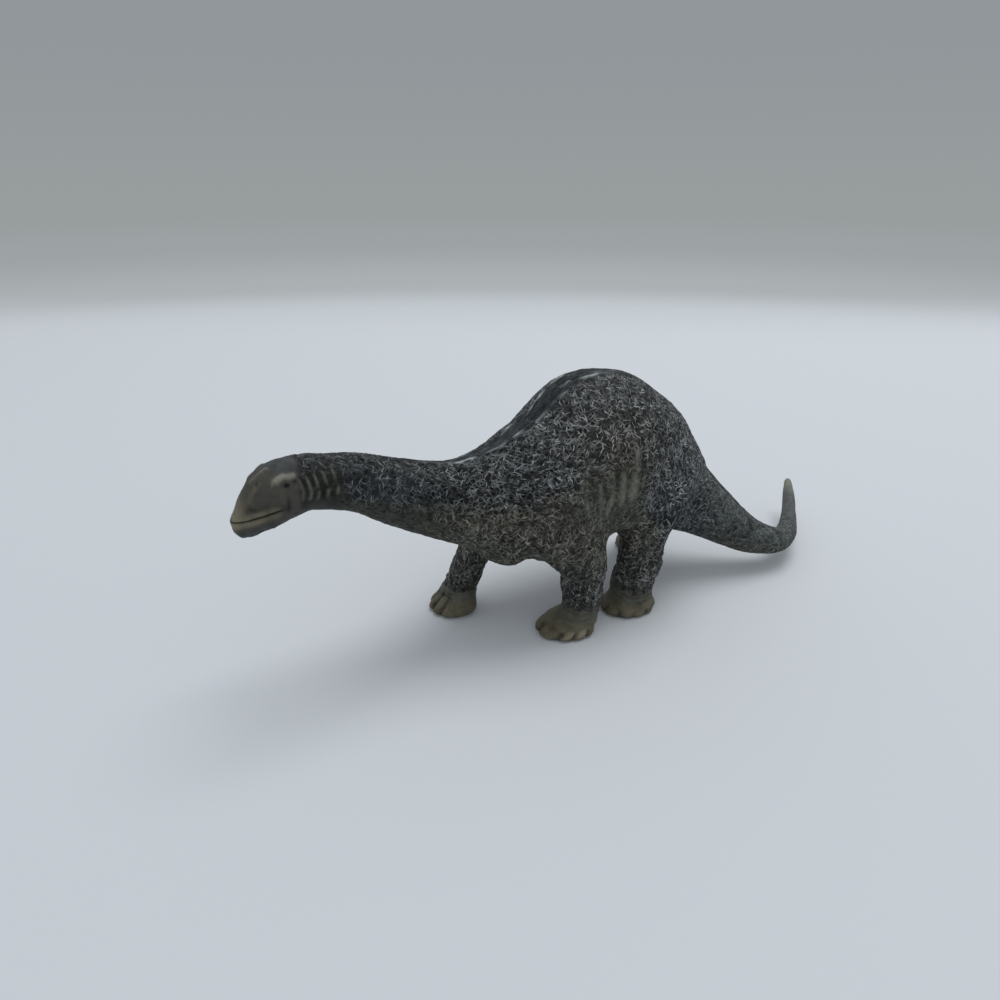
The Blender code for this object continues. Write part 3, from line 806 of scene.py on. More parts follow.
@dataclass
class Sculpt:
    """What is modelled and painted on the smooth form, at a set of its points.

    Zones are shares from 0 to 1. Only a leg has any foot or nails, and its leg is 1.
    """

    spine: SpineForm
    points: Array
    foot: Array | float = 0.0
    nails: Array | float = 0.0
    leg: float = 0.0
    # The results: height outward, ridges that catch paint, hollows that hold it and painted shade
    # below the back's strip, the coats' colours and shares, and the way that the strokes run
    height: Array = field(init=False)
    crest: Array = field(init=False)
    groove: Array = field(init=False)
    coat: Array = field(init=False)
    flow: Array = field(init=False)
    # The points on the left side, their X and Z, their offsets from the path, their level as
    # a share of the ring's rise or drop, and the path's direction
    left: Array = field(init=False)
    x: Array = field(init=False)
    z: Array = field(init=False)
    aside: Array = field(init=False)
    above: Array = field(init=False)
    level: Array = field(init=False)
    ahead: Array = field(init=False)
    # The strip along the back: distance past its edge, then the strip, its sunk outer rim,
    # its raised lip and the painted glints, painted highlights along the lip and in spots on it
    edge: Array = field(init=False)
    band: Array = field(init=False)
    band_rim: Array = field(init=False)
    band_lip: Array = field(init=False)
    glint: Array = field(init=False)
    # The other zones, and the raised parts of the flank folds and of the neck's rings
    olive: Array = field(init=False)
    flank: Array = field(init=False)
    face: Array = field(init=False)
    throat: Array = field(init=False)
    tail_low: Array = field(init=False)
    tail_tip: Array = field(init=False)
    hip: Array = field(init=False)
    ribs: Array = field(init=False)
    near_rings: Array = field(init=False)
    ridge: Array = field(init=False)

    def __post_init__(self) -> None:
        """Finds the zones, then the relief and the coats that they give."""
        self.left = on_left(self.points)
        self.x, self.z = self.points[..., 0], self.points[..., 2]
        place, self.aside, self.above, _ = self.spine.locate(self.points)
        row = at_rows(self.spine.table, place)
        self.level = self.above / np.where(self.above > 0, row[..., RISE], row[..., DROP])
        self.ahead = row[..., ONWARD]
        self.find_zones()
        self.model_hide()
        self.model_folds()
        self.model_rings()
        self.model_face()
        self.model_foot()
        self.crest = within(self.crest)
        self.groove = within(self.groove)
        self.paint()
        self.lay_flow()

    def find_zones(self) -> None:
        """Shares of each zone, 0 to 1; noise makes their borders uneven."""
        x, z = self.x, self.z
        rough = noise(self.points, 9.0, 3) + 0.5 * noise(self.points, 4.0, 4)
        body = 1 - self.leg
        drift = np.interp(x, BAND_PLACES, BAND_DRIFT)
        half = np.interp(x, BAND_PLACES, BAND_HALF)
        self.edge = np.abs(-self.aside - drift) - half + 0.5 * rough
        on_top = body * (self.above > 0) * step_up(x, -98, -84) * step_up(x, 100, 55)
        self.band = step_up(self.edge, 0.5, -0.9) * on_top
        self.band_rim = bell(self.edge, 0.9, 0.8) * on_top
        self.band_lip = bell(self.edge, -1.1, 1.25) * on_top * step_up(x, 12, -4)
        border = np.interp(x, OLIVE_PLACES, OLIVE_HEIGHT)
        self.olive = step_up(z + 2.6 * rough, border + 3.5, border - 3.5) * step_up(x, 24, 4)
        spot = hill(self.left + 1.4 * rough[..., None], (-12.0, -30.0, 62.5), (17.0, 16.0, 12.5))
        self.flank = step_up(spot, 0.06, 0.88)
        self.face = step_up(x + 0.9 * rough, -124.4, -128.8) * body
        self.throat = step_up(x + 1.8 * rough, -106.0, -118.0) * (1 - self.face) * body
        self.throat *= step_up(self.level + 0.2 * rough, 0.55, -0.1)
        self.tail_low = step_up(x, 50, 75) * step_up(self.level, 0.25, -0.35) * body
        self.tail_tip = step_up(x, 112, 138) * body
        self.hip = step_up(x, -1.0, 9.0) * step_up(x, 95, 55)

    def mouth(self) -> tuple[Array, Array, Array]:
        """Where the points are against the mouth.

        Returns:
            Distance over the mouth plane, distance ahead of its corner, and its zone.
        """
        from_corner = self.points - MOUTH_PLACE
        ahead = from_corner @ MOUTH_AHEAD
        return from_corner @ MOUTH_UP, ahead, step_up(ahead, -1.6, 0.6) * self.face

    def model_hide(self) -> None:
        """The net of wrinkles, the swellings under it and the smoother strip on the back.

        The net is the higher of two fields of ridges, and turns to upright streaks on the
        hip. Its hollows hold the wash and its ridges catch the brush.
        """
        points, x = self.points, self.x
        smooth = within(
            self.face + 0.85 * self.throat + 0.6 * self.band + 0.75 * self.flank
            + self.foot + 0.45 * self.tail_low + 0.8 * self.tail_tip
        )
        rugged = 1 - smooth
        high = step_up(self.z, 26, 38)
        fine = ridges(points, 2.9, 11, 0.24)
        finer = ridges(points, 1.9, 12, 0.34)
        streaks = ridges(points * (1.0, 1.0, 0.34), 2.6, 13, 0.26)
        coarse = ridges(points * (1.0, 1.0, 0.8), 5.6, 14, 0.3)
        net = np.maximum(fine, 0.75 * finer)
        net = mix(net, np.maximum(streaks, 0.55 * finer), 0.75 * self.hip * high)
        swell = noise(points, 15.0, 15) * 0.35 + noise(points, 7.0, 16) * 0.14
        lumps = self.leg * (1 - self.foot) * (1 - high) * ridges(points, 4.6, 17, 0.34)
        self.height = swell * (1 - 0.7 * within(self.face + self.foot))
        self.height += rugged * (0.30 * net + 0.14 * coarse - 0.26)
        self.height -= 0.6 * lumps
        for centre, radius, rise in SWELLINGS:
            self.height += rise * hill(points, centre, radius)
        grain = noise(np.stack((self.aside, x * 0.28, self.above * 0.28), -1), 1.5, 18)
        self.height += self.band * (0.16 + 0.14 * grain) - 0.32 * self.band_rim
        self.height += 0.4 * self.band_lip
        self.crest = rugged * net + self.band * within(0.25 + 1.3 * grain)
        # Painted highlights: the glints are pale paint along the strip's lip and in spots on it,
        # uneven in strength
        lit = within(0.45 + 1.5 * noise(points, (9.0, 5.0, 5.0), 26)) * within(0.65 + 1.2 * grain)
        spots = noise(points, (11.0, 3.0, 4.0), 28) > 0.25
        self.glint = within(self.band_lip + 0.6 * self.band * spots)
        self.glint = self.glint * lit * step_up(x, -92, -60)
        # Painted shade: the wash is laid darker in a strip just below the back strip's edge, where
        # shade falls
        under = bell(self.edge, 3.4, 2.6) * (self.above > 0) * step_up(x, 2, -14)
        self.groove = rugged * (1 - net) * 0.35 + 0.55 * self.band_rim + 0.9 * lumps
        self.groove += 0.4 * under * rugged
        self.groove += self.band * within(-0.9 * grain, 0.5)

    def model_folds(self) -> None:
        """The soft folds of the flank, and the creases round the hip, shoulder and chest."""
        ribs = np.zeros_like(self.height)
        for fold in FLANK_FOLDS:
            share = fold.share(self.left)
            self.height += fold.height * share
            ribs = np.maximum(ribs, share * fold.height)
        self.crest *= 1 - 0.4 * self.flank
        self.ribs = within(1.2 * ribs) * within(0.7 + 0.9 * noise(self.points, (4.0, 4.0, 7.0), 30))
        self.groove += 0.35 * self.flank * (1 - within(2.2 * ribs))
        for fold in BODY_CREASES:
            share = fold.share(self.left)
            self.height += fold.height * share
            self.groove += 0.55 * share * (fold.height < 0)

    def model_rings(self) -> None:
        """The ring folds behind the head: wash lies between them, the brush on them."""
        rings = np.zeros_like(self.height)
        for fold in RING_FOLDS:
            rings = np.maximum(rings, fold.share(self.left))
        near = step_up(self.x, -128.2, -127.0) * step_up(self.x, -111.8, -114.0)
        near = near * step_up(self.z, 74.5, 78.5) * (1 - self.leg)
        self.height += near * (0.9 * rings - 0.55) * (0.2 + 0.8 * step_up(self.z, 90.0, 86.0))
        near = near * step_up(self.z, 90.0, 85.0)
        soft = 0.6 * noise(self.points, 1.6, 27)
        self.ridge = near * within(1.3 * rings + 0.5 * noise(self.points, 1.8, 29) - 0.25)
        self.groove = self.groove * (1 - near) + near * within(0.85 - 1.7 * rings + soft)
        self.crest = self.crest * (1 - near) + near * within(1.1 * rings + soft - 0.2)
        self.near_rings = near

    def model_face(self) -> None:
        """Lips along the mouth line, the head's folds, eyes, nostrils and cheeks."""
        points, left, face = self.points, self.left, self.face
        over, ahead, mouth = self.mouth()
        lips = 0.42 * bell(over, 1.2, 0.6) + 0.3 * bell(over, -1.0, 0.6)
        front = step_up(ahead, 13.5, 9.5)
        self.height += mouth * (lips * front - 0.3 * bell(over, 0, 0.3) * front)
        self.groove += mouth * 0.6 * bell(over, 0, 0.32)
        for fold in (BROW, CREST, SNOUT_EDGE, CHEEK_EDGE, JAW_LUMP, CHIN_DIP):
            self.height += face * fold.height * fold.share(left)
        self.groove += face * 0.7 * CHEEK_EDGE.share(left)
        self.groove += face * 0.7 * hill(left, (-143.0, -5.4, 77.6), (1.9, 2.0, 0.9))
        eye = hill(left, EYE, (0.95, 1.2, 0.65))
        socket = hill(left, EYE, (2.4, 2.4, 1.5))
        hollow = hill(left, (-139.8, -6.6, 80.6), (4.0, 4.0, 3.6))
        self.height += face * (0.6 * eye - 0.6 * socket)
        self.height -= face * 0.55 * hill(left, NOSTRIL, NOSTRIL_RADIUS)
        self.height -= face * 0.7 * hollow
        self.height += face * 0.5 * hill(left, (-133.8, -8.6, 79.0), 2.8)
        self.height += face * (0.14 * noise(points, 3.2, 19) + 0.10 * noise(points, 1.5, 21))
        blotch = 0.9 * noise(points, 3.6, 22) + 0.5 * noise(points, 1.6, 23)
        blotch = np.clip(blotch, -0.35, 0.7)
        self.groove += face * (0.30 * blotch + 0.22 * hollow + 0.35 * socket)

    def model_foot(self) -> None:
        """Low pads on the smooth skin of the foot."""
        pads = 0.22 * noise(self.points, 3.4, 20) + 0.12 * noise(self.points, 1.5, 24)
        self.height += self.foot * pads
        self.groove += self.foot * within(-1.3 * pads, 0.4)
        self.crest += self.foot * within(1.6 * pads, 0.6)

    def lay(self, over: Coat, share: Array) -> None:
        """Lays one more coat over the points by a share for each."""
        self.coat += (over.row() - self.coat) * within(share)[..., None]

    def paint(self) -> None:
        """Lays the coats over each other, from the hide to the eyes and nails."""
        x, z, left, face = self.x, self.z, self.left, self.face
        hide = HIDE.row()
        self.coat = np.broadcast_to(hide, (*x.shape, len(hide))).copy()
        nape = step_up(x, -66, -92)
        self.lay(WARM, 0.85 * hill(left, (-6.0, -28.0, 78.0), (20.0, 22.0, 17.0)))
        self.lay(SHOULDER, 0.95 * step_up(x, -26, -46))
        self.lay(NAPE, nape)
        self.lay(TAIL_HIDE, step_up(x, 42, 62))
        tinge = 0.85 * self.olive
        if self.leg > 0:
            self.lay(LEG, step_up(z, 40, 28))
            tinge = mix(0.35, tinge, step_up(z, 24, 38))
        self.lay(OLIVE, tinge)
        self.lay(OLIVE, 0.7 * self.tail_low)
        self.lay(THROAT, np.maximum(self.throat, 0.7 * self.olive * nape))
        self.lay(FLANK, 0.95 * self.flank)
        self.lay(FOLD, 0.66 * self.ribs)
        self.lay(BAND, self.band)
        # Painted highlights along the back's strip and its lip
        self.lay(BAND_GLINT, 0.9 * self.glint)
        self.lay(TAIL_END, step_up(x, 108, 130))
        self.lay(TAIL_TIP, step_up(x, 136, 144))
        self.lay(RING, 0.8 * self.near_rings)
        self.lay(RING_RIDGE, 0.56 * self.ridge)
        self.lay(FACE, face)
        self.lay(CROWN, face * 0.9 * step_up(z + 0.35 * (x + 132), 86.5, 89.0))
        over, ahead, mouth = self.mouth()
        self.lay(CHIN, mouth * step_up(over, -2.2, -4.5))
        nose = face * 0.85 * step_up(ahead + 0.25 * over, 9.5, 14.5)
        self.lay(SNOUT, nose * step_up(over, -2.6, -1.2))
        lips = within(bell(over, 0.9, 1.0) + bell(over, -1.3, 1.0))
        self.lay(SNOUT, mouth * 0.65 * lips * step_up(ahead, -1.5, 4.0))
        self.lay(SNOUT, face * 0.4 * SNOUT_EDGE.share(left))
        self.lay(PALE_BROW, face * 0.5 * CREST.share(left))
        patch = BROW.share(left + 0.6 * noise(self.points, 1.8, 25)[..., None])
        self.lay(PALE_BROW, face * 0.85 * step_up(patch, 0.1, 0.95))
        # Dark paint on the eye and the nostril, and a painted shadow under the brow behind the eye
        for place, radius, share, low, high in DARK_SPOTS:
            self.lay(DARK_EYE_NOSTRIL_AND_SHADOW, face * share * step_up(hill(left, place, radius), low, high))
        self.lay(MOUTH_LINE, mouth * 0.85 * bell(over, 0, 0.28))
        if self.leg > 0:
            self.lay(FOOT, self.foot)
            self.lay(INSTEP, self.foot * step_up(z, 4.5, 8.5))
            self.lay(NAIL, self.foot * self.nails)

    def lay_flow(self) -> None:
        """The way that the strokes run: down the hip, aslant on the shoulder, and along."""
        down = np.array((0.12, 0.0, -1.0))
        slant = np.array((0.69, 0.0, -0.72))
        shoulder = hill(self.left, (-42.0, -24.0, 70.0), (20.0, 30.0, 13.0))
        along = self.band * 1.8 + 0.9 * self.tail_tip + 0.5 * self.tail_low
        self.flow = self.hip[..., None] * down * 1.1 + shoulder[..., None] * slant * 1.5
        self.flow += along[..., None] * self.ahead


def volume(points: Array, faces: Array) -> float:
    """Six times the volume in a closed mesh; it is below nought where the mesh is inside out.

    Each face is a fan of triangles, and a triangle's share is its first corner times the
    cross product of the other two.

    Args:
        points: The mesh's points.
        faces: The numbers of each face's points, as many for each.

    Returns:
        The share of these faces.
    """
    first, *rest = (points[faces[:, k]] for k in range(faces.shape[1]))
    return sum((first * np.cross(b, c)).sum() for b, c in zip(rest, rest[1:]))


def closed_skin(name: str, rings: Array, sculpt: Sculpt, halves: bool) -> bpy.types.Object:
    """A closed mesh over rings of points, with flat fans at both ends.

    Args:
        name: The piece's name.
        rings: The points in mm: rings, places round a ring, and X, Y, Z.
        sculpt: Its paint, for the same points.
        halves: Whether the rings are half rings, closed by a flat strip.

    Returns:
        The piece, at the origin.
    """
    count, around = rings.shape[:2]
    index = np.arange(count * around).reshape(count, around)
    following = np.roll(index, -1, axis=1)
    quads = np.stack((index[:-1], following[:-1], following[1:], index[1:]), -1).reshape(-1, 4)
    middles = np.stack((rings[0].mean(0), rings[-1].mean(0)))
    fans = []
    for ring, turn, middle in ((0, 1, count * around), (-1, -1, count * around + 1)):
        rim = np.stack((following[ring], index[ring]), -1)[:, ::turn]
        fans.append(np.column_stack((rim, np.full(around, middle))))
    fans = np.vstack(fans)
    points = np.vstack((rings.reshape(-1, 3), middles))
    if volume(points, quads) + volume(points, fans) < 0:
        quads, fans = quads[:, ::-1], fans[:, ::-1]
    low, high = (np.array(corner) / MM for corner in CAD_BOX)
    points = np.clip(points, low + BOX_MARGIN, high - BOX_MARGIN)
    mesh = bpy.data.meshes.new(name)
    mesh.vertices.add(len(points))
    mesh.vertices.foreach_set("co", (points * MM).astype(np.float32).ravel())
    corners = np.concatenate((quads.ravel(), fans.ravel())).astype(np.int32)
    starts = np.concatenate((np.arange(len(quads)) * 4, quads.size + np.arange(len(fans)) * 3))
    mesh.loops.add(len(corners))
    mesh.loops.foreach_set("vertex_index", corners)
    mesh.polygons.add(len(starts))
    mesh.polygons.foreach_set("loop_start", starts.astype(np.int32))
    smooth = np.ones(len(starts), dtype=bool)
    smooth[len(quads) :] = False
    if halves:
        smooth[: len(quads)] = np.tile(np.arange(around) < around - 1, count - 1)
    mesh.polygons.foreach_set("use_smooth", smooth)
    store_paint(mesh, sculpt)
    mesh.update(calc_edges=True)
    mesh.validate()
    thing = bpy.data.objects.new(name, mesh)
    bpy.context.scene.collection.objects.link(thing)
    return thing


def store_paint(mesh: bpy.types.Mesh, sculpt: Sculpt) -> None:
    """Writes a sculpt's coats, ridges and stroke directions as the mesh's attributes.

    Args:
        mesh: The mesh, whose last two points are the middles of its end fans.
        sculpt: The paint of its other points.
    """

    def padded(values: Array) -> Array:
        """The values as rows, with two more for the fans' middles."""
        rows = values.reshape(len(mesh.vertices) - 2, -1)
        return np.vstack((rows, rows[-1:], rows[-1:])).astype(np.float32)

    for name, first in (("wash", 0), ("skin", 3), ("brush", 6)):
        layer = mesh.attributes.new(name, "FLOAT_COLOR", "POINT")
        colour = padded(sculpt.coat[..., first : first + 3])
        colour = np.column_stack((colour, np.ones(len(colour), np.float32)))
        layer.data.foreach_set("color", colour.ravel())
    shares = {
        "strokes": sculpt.coat[..., STROKES],
        "stain": sculpt.coat[..., STAIN],
        "crest": sculpt.crest,
        "groove": sculpt.groove,
    }
    for name, values in shares.items():
        layer = mesh.attributes.new(name, "FLOAT", "POINT")
        layer.data.foreach_set("value", padded(values).ravel())
    layer = mesh.attributes.new("flow", "FLOAT_VECTOR", "POINT")
    layer.data.foreach_set("vector", padded(sculpt.flow).ravel())


def add(
    tree: bpy.types.NodeTree, kind: str, values: dict | None = None, **settings: str | bool
) -> bpy.types.Node:
    """Adds a node with its settings and links.

    A value is a number or a colour, a socket to link, or a node whose first output it is.

    Args:
        tree: The node tree.
        kind: The node's type.
        values: What goes into its inputs, by their names or numbers.
        settings: The node's own settings.

    Returns:
        The node.
    """
    node = tree.nodes.new(kind)
    for key, value in settings.items():
        setattr(node, key, value)
    for key, value in (values or {}).items():
        value = value.outputs[0] if isinstance(value, bpy.types.Node) else value
        if isinstance(value, bpy.types.NodeSocket):
            tree.links.new(value, node.inputs[key])
        else:
            node.inputs[key].default_value = value
    return node


@dataclass(frozen=True)
class StrokeLayer:
    """One layer of short raised strokes, with its sizes in mm."""

    # Size of the cells, each with one stroke; the stroke's width and how much it bends
    cell: float
    width: float
    bend: float
    # How far the layer is shifted, so that its cells differ from the other layers'
    shift: float


STROKE_LAYERS = (
    StrokeLayer(3.4, 0.32, 0.03, 0.0),
    StrokeLayer(2.8, 0.30, -0.05, 13.7),
    StrokeLayer(4.0, 0.34, 0.02, 41.3),
    StrokeLayer(2.4, 0.27, -0.06, 77.9),
)


@dataclass(frozen=True)
class PaintedVinyl:
    """PVC moulded in a tool with engraved wrinkles, washed dark and dry-brushed pale.

    The wash settles in the hollows and the nearly dry brush catches the ridges, which
    gives the crisscross of pale strokes over charcoal. The paint dries matt, more so where
    the wash lies thick.
    """

    name: str = "dry_brushed_vinyl"
    roughness: float = 0.62
    # PVC's refraction, and how much a thin and a thick wash mirror
    ior: float = 1.46
    mirror: tuple[float, float] = (0.22, 0.04)
    # Strength of the relief, and its heights in mm: of the strokes and of the paint's grain
    bump: float = 0.9
    stroke_height: float = 0.22
    grain_height: float = 0.10
    # Sizes in mm of the net under the strokes, of the patches in which it shows, and of the
    # waver that keeps the strokes from lying straight
    net: float = 1.9
    patch: float = 3.4
    waver: float = 3.0
    waver_reach: float = 0.5
    # Sizes in mm of the blotches in the wash, its pits, and the grain, drawn coarser than
    # real paint's so that it shows
    mottle: float = 4.5
    pit: float = 1.5
    grain: float = 0.7
    # Share of the cells that hold no stroke, and how pale ridges are where there is none
    bare: float = 0.26
    crest: float = 0.09

    def strokes(self, tree: bpy.types.NodeTree) -> bpy.types.NodeSocket:
        """The stroke texture, 0 to 1: a faint net under layers of tapered, bent strokes.

        Args:
            tree: The material's nodes.

        Returns:
            The socket that gives it.
        """
        place = add(tree, "ShaderNodeTexCoord").outputs["Object"]
        normal = add(tree, "ShaderNodeNewGeometry").outputs["Normal"]
        flow = add(tree, "ShaderNodeAttribute", attribute_name="flow").outputs["Vector"]
        waver = add(
            tree, "ShaderNodeTexNoise",
            {"Vector": place, "Scale": 1 / (self.waver * MM), "Detail": 0.0},
        )
        waver = add(
            tree, "ShaderNodeVectorMath",
            {0: waver.outputs["Color"], 1: (0.5, 0.5, 0.5)}, operation="SUBTRACT",
        )
        waver = add(
            tree, "ShaderNodeVectorMath",
            {0: waver, "Scale": self.waver_reach * MM}, operation="SCALE",
        )
        place = add(tree, "ShaderNodeVectorMath", {0: place, 1: waver}, operation="ADD").outputs[0]
        cracks = add(
            tree, "ShaderNodeTexVoronoi",
            {"Vector": place, "Scale": 1 / (self.net * MM)}, feature="DISTANCE_TO_EDGE",
        )
        web = add(
            tree, "ShaderNodeMapRange",
            {"Value": cracks.outputs["Distance"], "From Min": 0.14, "From Max": 0.03},
        )
        patches = add(
            tree, "ShaderNodeTexNoise",
            {"Vector": place, "Scale": 1 / (self.patch * MM), "Detail": 1.0},
        )
        patches = add(
            tree, "ShaderNodeMapRange",
            {
                "Value": patches.outputs["Fac"], "From Min": 0.40, "From Max": 0.60,
                "To Min": 0.05, "To Max": 0.42,
            },
        )
        best = add(tree, "ShaderNodeMath", {0: web, 1: patches}, operation="MULTIPLY").outputs[0]
        for layer in STROKE_LAYERS:
            stroke = self.one_layer(tree, layer, place, normal, flow)
            best = add(tree, "ShaderNodeMath", {0: best, 1: stroke}, operation="MAXIMUM").outputs[0]
        return best

    def one_layer(
        self,
        tree: bpy.types.NodeTree,
        layer: StrokeLayer,
        place: bpy.types.NodeSocket,
        normal: bpy.types.NodeSocket,
        flow: bpy.types.NodeSocket,
    ) -> bpy.types.NodeSocket:
        """One stroke in each cell, lying in the surface, its way random or with the flow.

        A point of a cell is measured along and across the stroke, in mm. The stroke shows
        where the distance across, with the bend times the squared distance along, is less
        than a width that tapers to nought at the stroke's ends.

        Args:
            tree: The material's nodes.
            layer: The sizes of the layer.
            place: The socket of the place in space.
            normal: The socket of the surface's direction.
            flow: The socket of the way that strokes run here.

        Returns:
            The socket of the layer's strokes, 0 to 1.
        """
        shifted = add(
            tree, "ShaderNodeVectorMath",
            {0: place, 1: (layer.shift, 0, layer.shift)}, operation="ADD",
        )
        cells = add(tree, "ShaderNodeTexVoronoi", {"Vector": shifted, "Scale": 1 / (layer.cell * MM)})
        offset = add(
            tree, "ShaderNodeVectorMath",
            {0: shifted, 1: cells.outputs["Position"]}, operation="SUBTRACT",
        )
        random = add(
            tree, "ShaderNodeVectorMath",
            {0: cells.outputs["Color"], 1: (0.5, 0.5, 0.5)}, operation="SUBTRACT",
        )
        way = add(
            tree, "ShaderNodeVectorMath",
            {0: random, 1: (2.0, 2.0, 2.0), 2: flow}, operation="MULTIPLY_ADD",
        )
        across = add(tree, "ShaderNodeVectorMath", {0: normal, 1: way}, operation="CROSS_PRODUCT")
        across = add(tree, "ShaderNodeVectorMath", {0: across}, operation="NORMALIZE")
        along = add(tree, "ShaderNodeVectorMath", {0: across, 1: normal}, operation="CROSS_PRODUCT")
        measured = []
        for way_there in (along, across):
            metres = add(
                tree, "ShaderNodeVectorMath",
                {0: offset, 1: way_there}, operation="DOT_PRODUCT",
            )
            measured.append(
                add(
                    tree, "ShaderNodeMath",
                    {0: metres.outputs["Value"], 1: 1 / MM}, operation="MULTIPLY",
                ).outputs[0]
            )
        run, side = measured
        square = add(tree, "ShaderNodeMath", {0: run, 1: 2.0}, operation="POWER")
        bent = add(
            tree, "ShaderNodeMath",
            {0: square, 1: layer.bend, 2: side}, operation="MULTIPLY_ADD",
        )
        away = add(tree, "ShaderNodeMath", {0: bent}, operation="ABSOLUTE")
        taper = add(
            tree, "ShaderNodeMapRange",
            {
                "Value": square, "From Min": 0.0,
                "From Max": (0.56 * layer.cell) ** 2, "To Min": 1.0, "To Max": 0.0,
            },
        )
        reach = add(tree, "ShaderNodeMath", {0: taper, 1: layer.width}, operation="MULTIPLY")
        core = add(tree, "ShaderNodeMath", {0: reach, 1: 0.35}, operation="MULTIPLY")
        stroke = add(tree, "ShaderNodeMapRange", {"Value": away, "From Min": reach, "From Max": core})
        chance = add(tree, "ShaderNodeSeparateXYZ", {0: cells.outputs["Color"]})
        pale = add(
            tree, "ShaderNodeMapRange",
            {"Value": chance.outputs["Z"], "From Min": self.bare, "From Max": 1.0},
        )
        return add(tree, "ShaderNodeMath", {0: stroke, 1: pale}, operation="MULTIPLY").outputs[0]

    def colour(
        self, tree: bpy.types.NodeTree, coat: dict[str, bpy.types.Node],
        place: bpy.types.NodeSocket, strokes: bpy.types.NodeSocket,
    ) -> bpy.types.NodeSocket:
        """The paint's colour: skin, stained by the wash, with the brush on what is raised.

        Args:
            tree: The material's nodes.
            coat: The nodes that read the mesh's paint attributes.
            place: The socket of the place in space.
            strokes: The socket of the strokes that show.

        Returns:
            The colour's socket.
        """
        mottle = add(
            tree, "ShaderNodeTexNoise",
            {"Vector": place, "Scale": 1 / (self.mottle * MM), "Detail": 3.0, "Roughness": 0.6},
        )
        shown = add(
            tree, "ShaderNodeMapRange",
            {
                "Value": mottle.outputs["Fac"], "From Min": 0.34, "From Max": 0.62,
                "To Min": 0.42, "To Max": 1.0,
            },
        )
        crest = add(
            tree, "ShaderNodeMath",
            {0: coat["crest"].outputs["Fac"], 1: self.crest}, operation="MULTIPLY",
        )
        brushed = add(tree, "ShaderNodeMath", {0: strokes, 1: crest}, operation="MAXIMUM")
        brushed = add(
            tree, "ShaderNodeMath",
            {0: brushed, 1: shown}, operation="MULTIPLY", use_clamp=True,
        )
        uneven = add(
            tree, "ShaderNodeMapRange",
            {
                "Value": mottle.outputs["Fac"], "From Min": 0.35, "From Max": 0.65,
                "To Min": 0.25, "To Max": -0.2,
            },
        )
        # The groove attribute holds the wash in the hollows, and painted shade below the back's strip
        stain = add(
            tree, "ShaderNodeMath",
            {0: coat["stain"].outputs["Fac"], 1: coat["groove"].outputs["Fac"]},
            operation="ADD",
        )
        stain = add(tree, "ShaderNodeMath", {0: stain, 1: uneven}, operation="ADD", use_clamp=True)
        pits = add(
            tree, "ShaderNodeTexNoise",
            {"Vector": place, "Scale": 1 / (self.pit * MM), "Detail": 1.0},
        )
        pits = add(
            tree, "ShaderNodeMapRange",
            {
                "Value": pits.outputs["Fac"], "From Min": 0.42, "From Max": 0.56,
                "To Min": 1.0, "To Max": 0.0,
            },
        )
        stain = add(
            tree, "ShaderNodeMath",
            {0: pits, 1: coat["strokes"].outputs["Fac"], 2: stain},
            operation="MULTIPLY_ADD", use_clamp=True,
        )
        washed = add(
            tree, "ShaderNodeMix",
            {
                "Factor": stain, "A": coat["skin"].outputs["Color"],
                "B": coat["wash"].outputs["Color"],
            },
            data_type="RGBA",
        )
        return add(
            tree, "ShaderNodeMix",
            {
                "Factor": brushed, "A": washed.outputs["Result"],
                "B": coat["brush"].outputs["Color"],
            },
            data_type="RGBA",
        ).outputs["Result"]

    def material(self) -> bpy.types.Material:
        """The material: coats from the mesh's attributes, strokes and grain on top.

        Returns:
            The material.
        """
        made = bpy.data.materials.new(self.name)
        made.use_nodes = True
        tree = made.node_tree
        shader = tree.nodes["Principled BSDF"]
        coat = {
            name: add(tree, "ShaderNodeAttribute", attribute_name=name)
            for name in ("wash", "skin", "brush", "strokes", "stain", "crest", "groove")
        }
        place = add(tree, "ShaderNodeTexCoord").outputs["Object"]
        strokes = add(
            tree, "ShaderNodeMath",
            {0: self.strokes(tree), 1: coat["strokes"].outputs["Fac"]}, operation="MULTIPLY",
        ).outputs[0]
        tree.links.new(self.colour(tree, coat, place, strokes), shader.inputs["Base Color"])
        grain = add(
            tree, "ShaderNodeTexNoise",
            {"Vector": place, "Scale": 1 / (self.grain * MM), "Detail": 2.0, "Roughness": 0.6},
        ).outputs["Fac"]
        height = add(tree, "ShaderNodeMath", {0: strokes, 1: self.stroke_height}, operation="MULTIPLY")
        fine = add(
            tree, "ShaderNodeMath",
            {0: grain, 1: self.grain_height, 2: height}, operation="MULTIPLY_ADD",
        )
        bump = add(tree, "ShaderNodeBump", {"Height": fine, "Strength": self.bump, "Distance": MM})
        tree.links.new(bump.outputs["Normal"], shader.inputs["Normal"])
        gloss = add(
            tree, "ShaderNodeMapRange",
            {
                "Value": grain, "From Min": 0.3, "From Max": 0.7,
                "To Min": self.roughness - 0.07, "To Max": self.roughness + 0.09,
            },
        )
        tree.links.new(gloss.outputs[0], shader.inputs["Roughness"])
        shader.inputs["Metallic"].default_value = 0.0
        shader.inputs["IOR"].default_value = self.ior
        # A thick dark wash dries matt, so it mirrors less of the pale room than bare vinyl
        thin, thick = self.mirror
        satin = add(
            tree, "ShaderNodeMapRange",
            {
                "Value": coat["stain"].outputs["Fac"], "From Min": 0.08, "From Max": 0.38,
                "To Min": thin, "To Max": thick,
            },
        )
        tree.links.new(satin.outputs[0], shader.inputs["Specular IOR Level"])
        return made


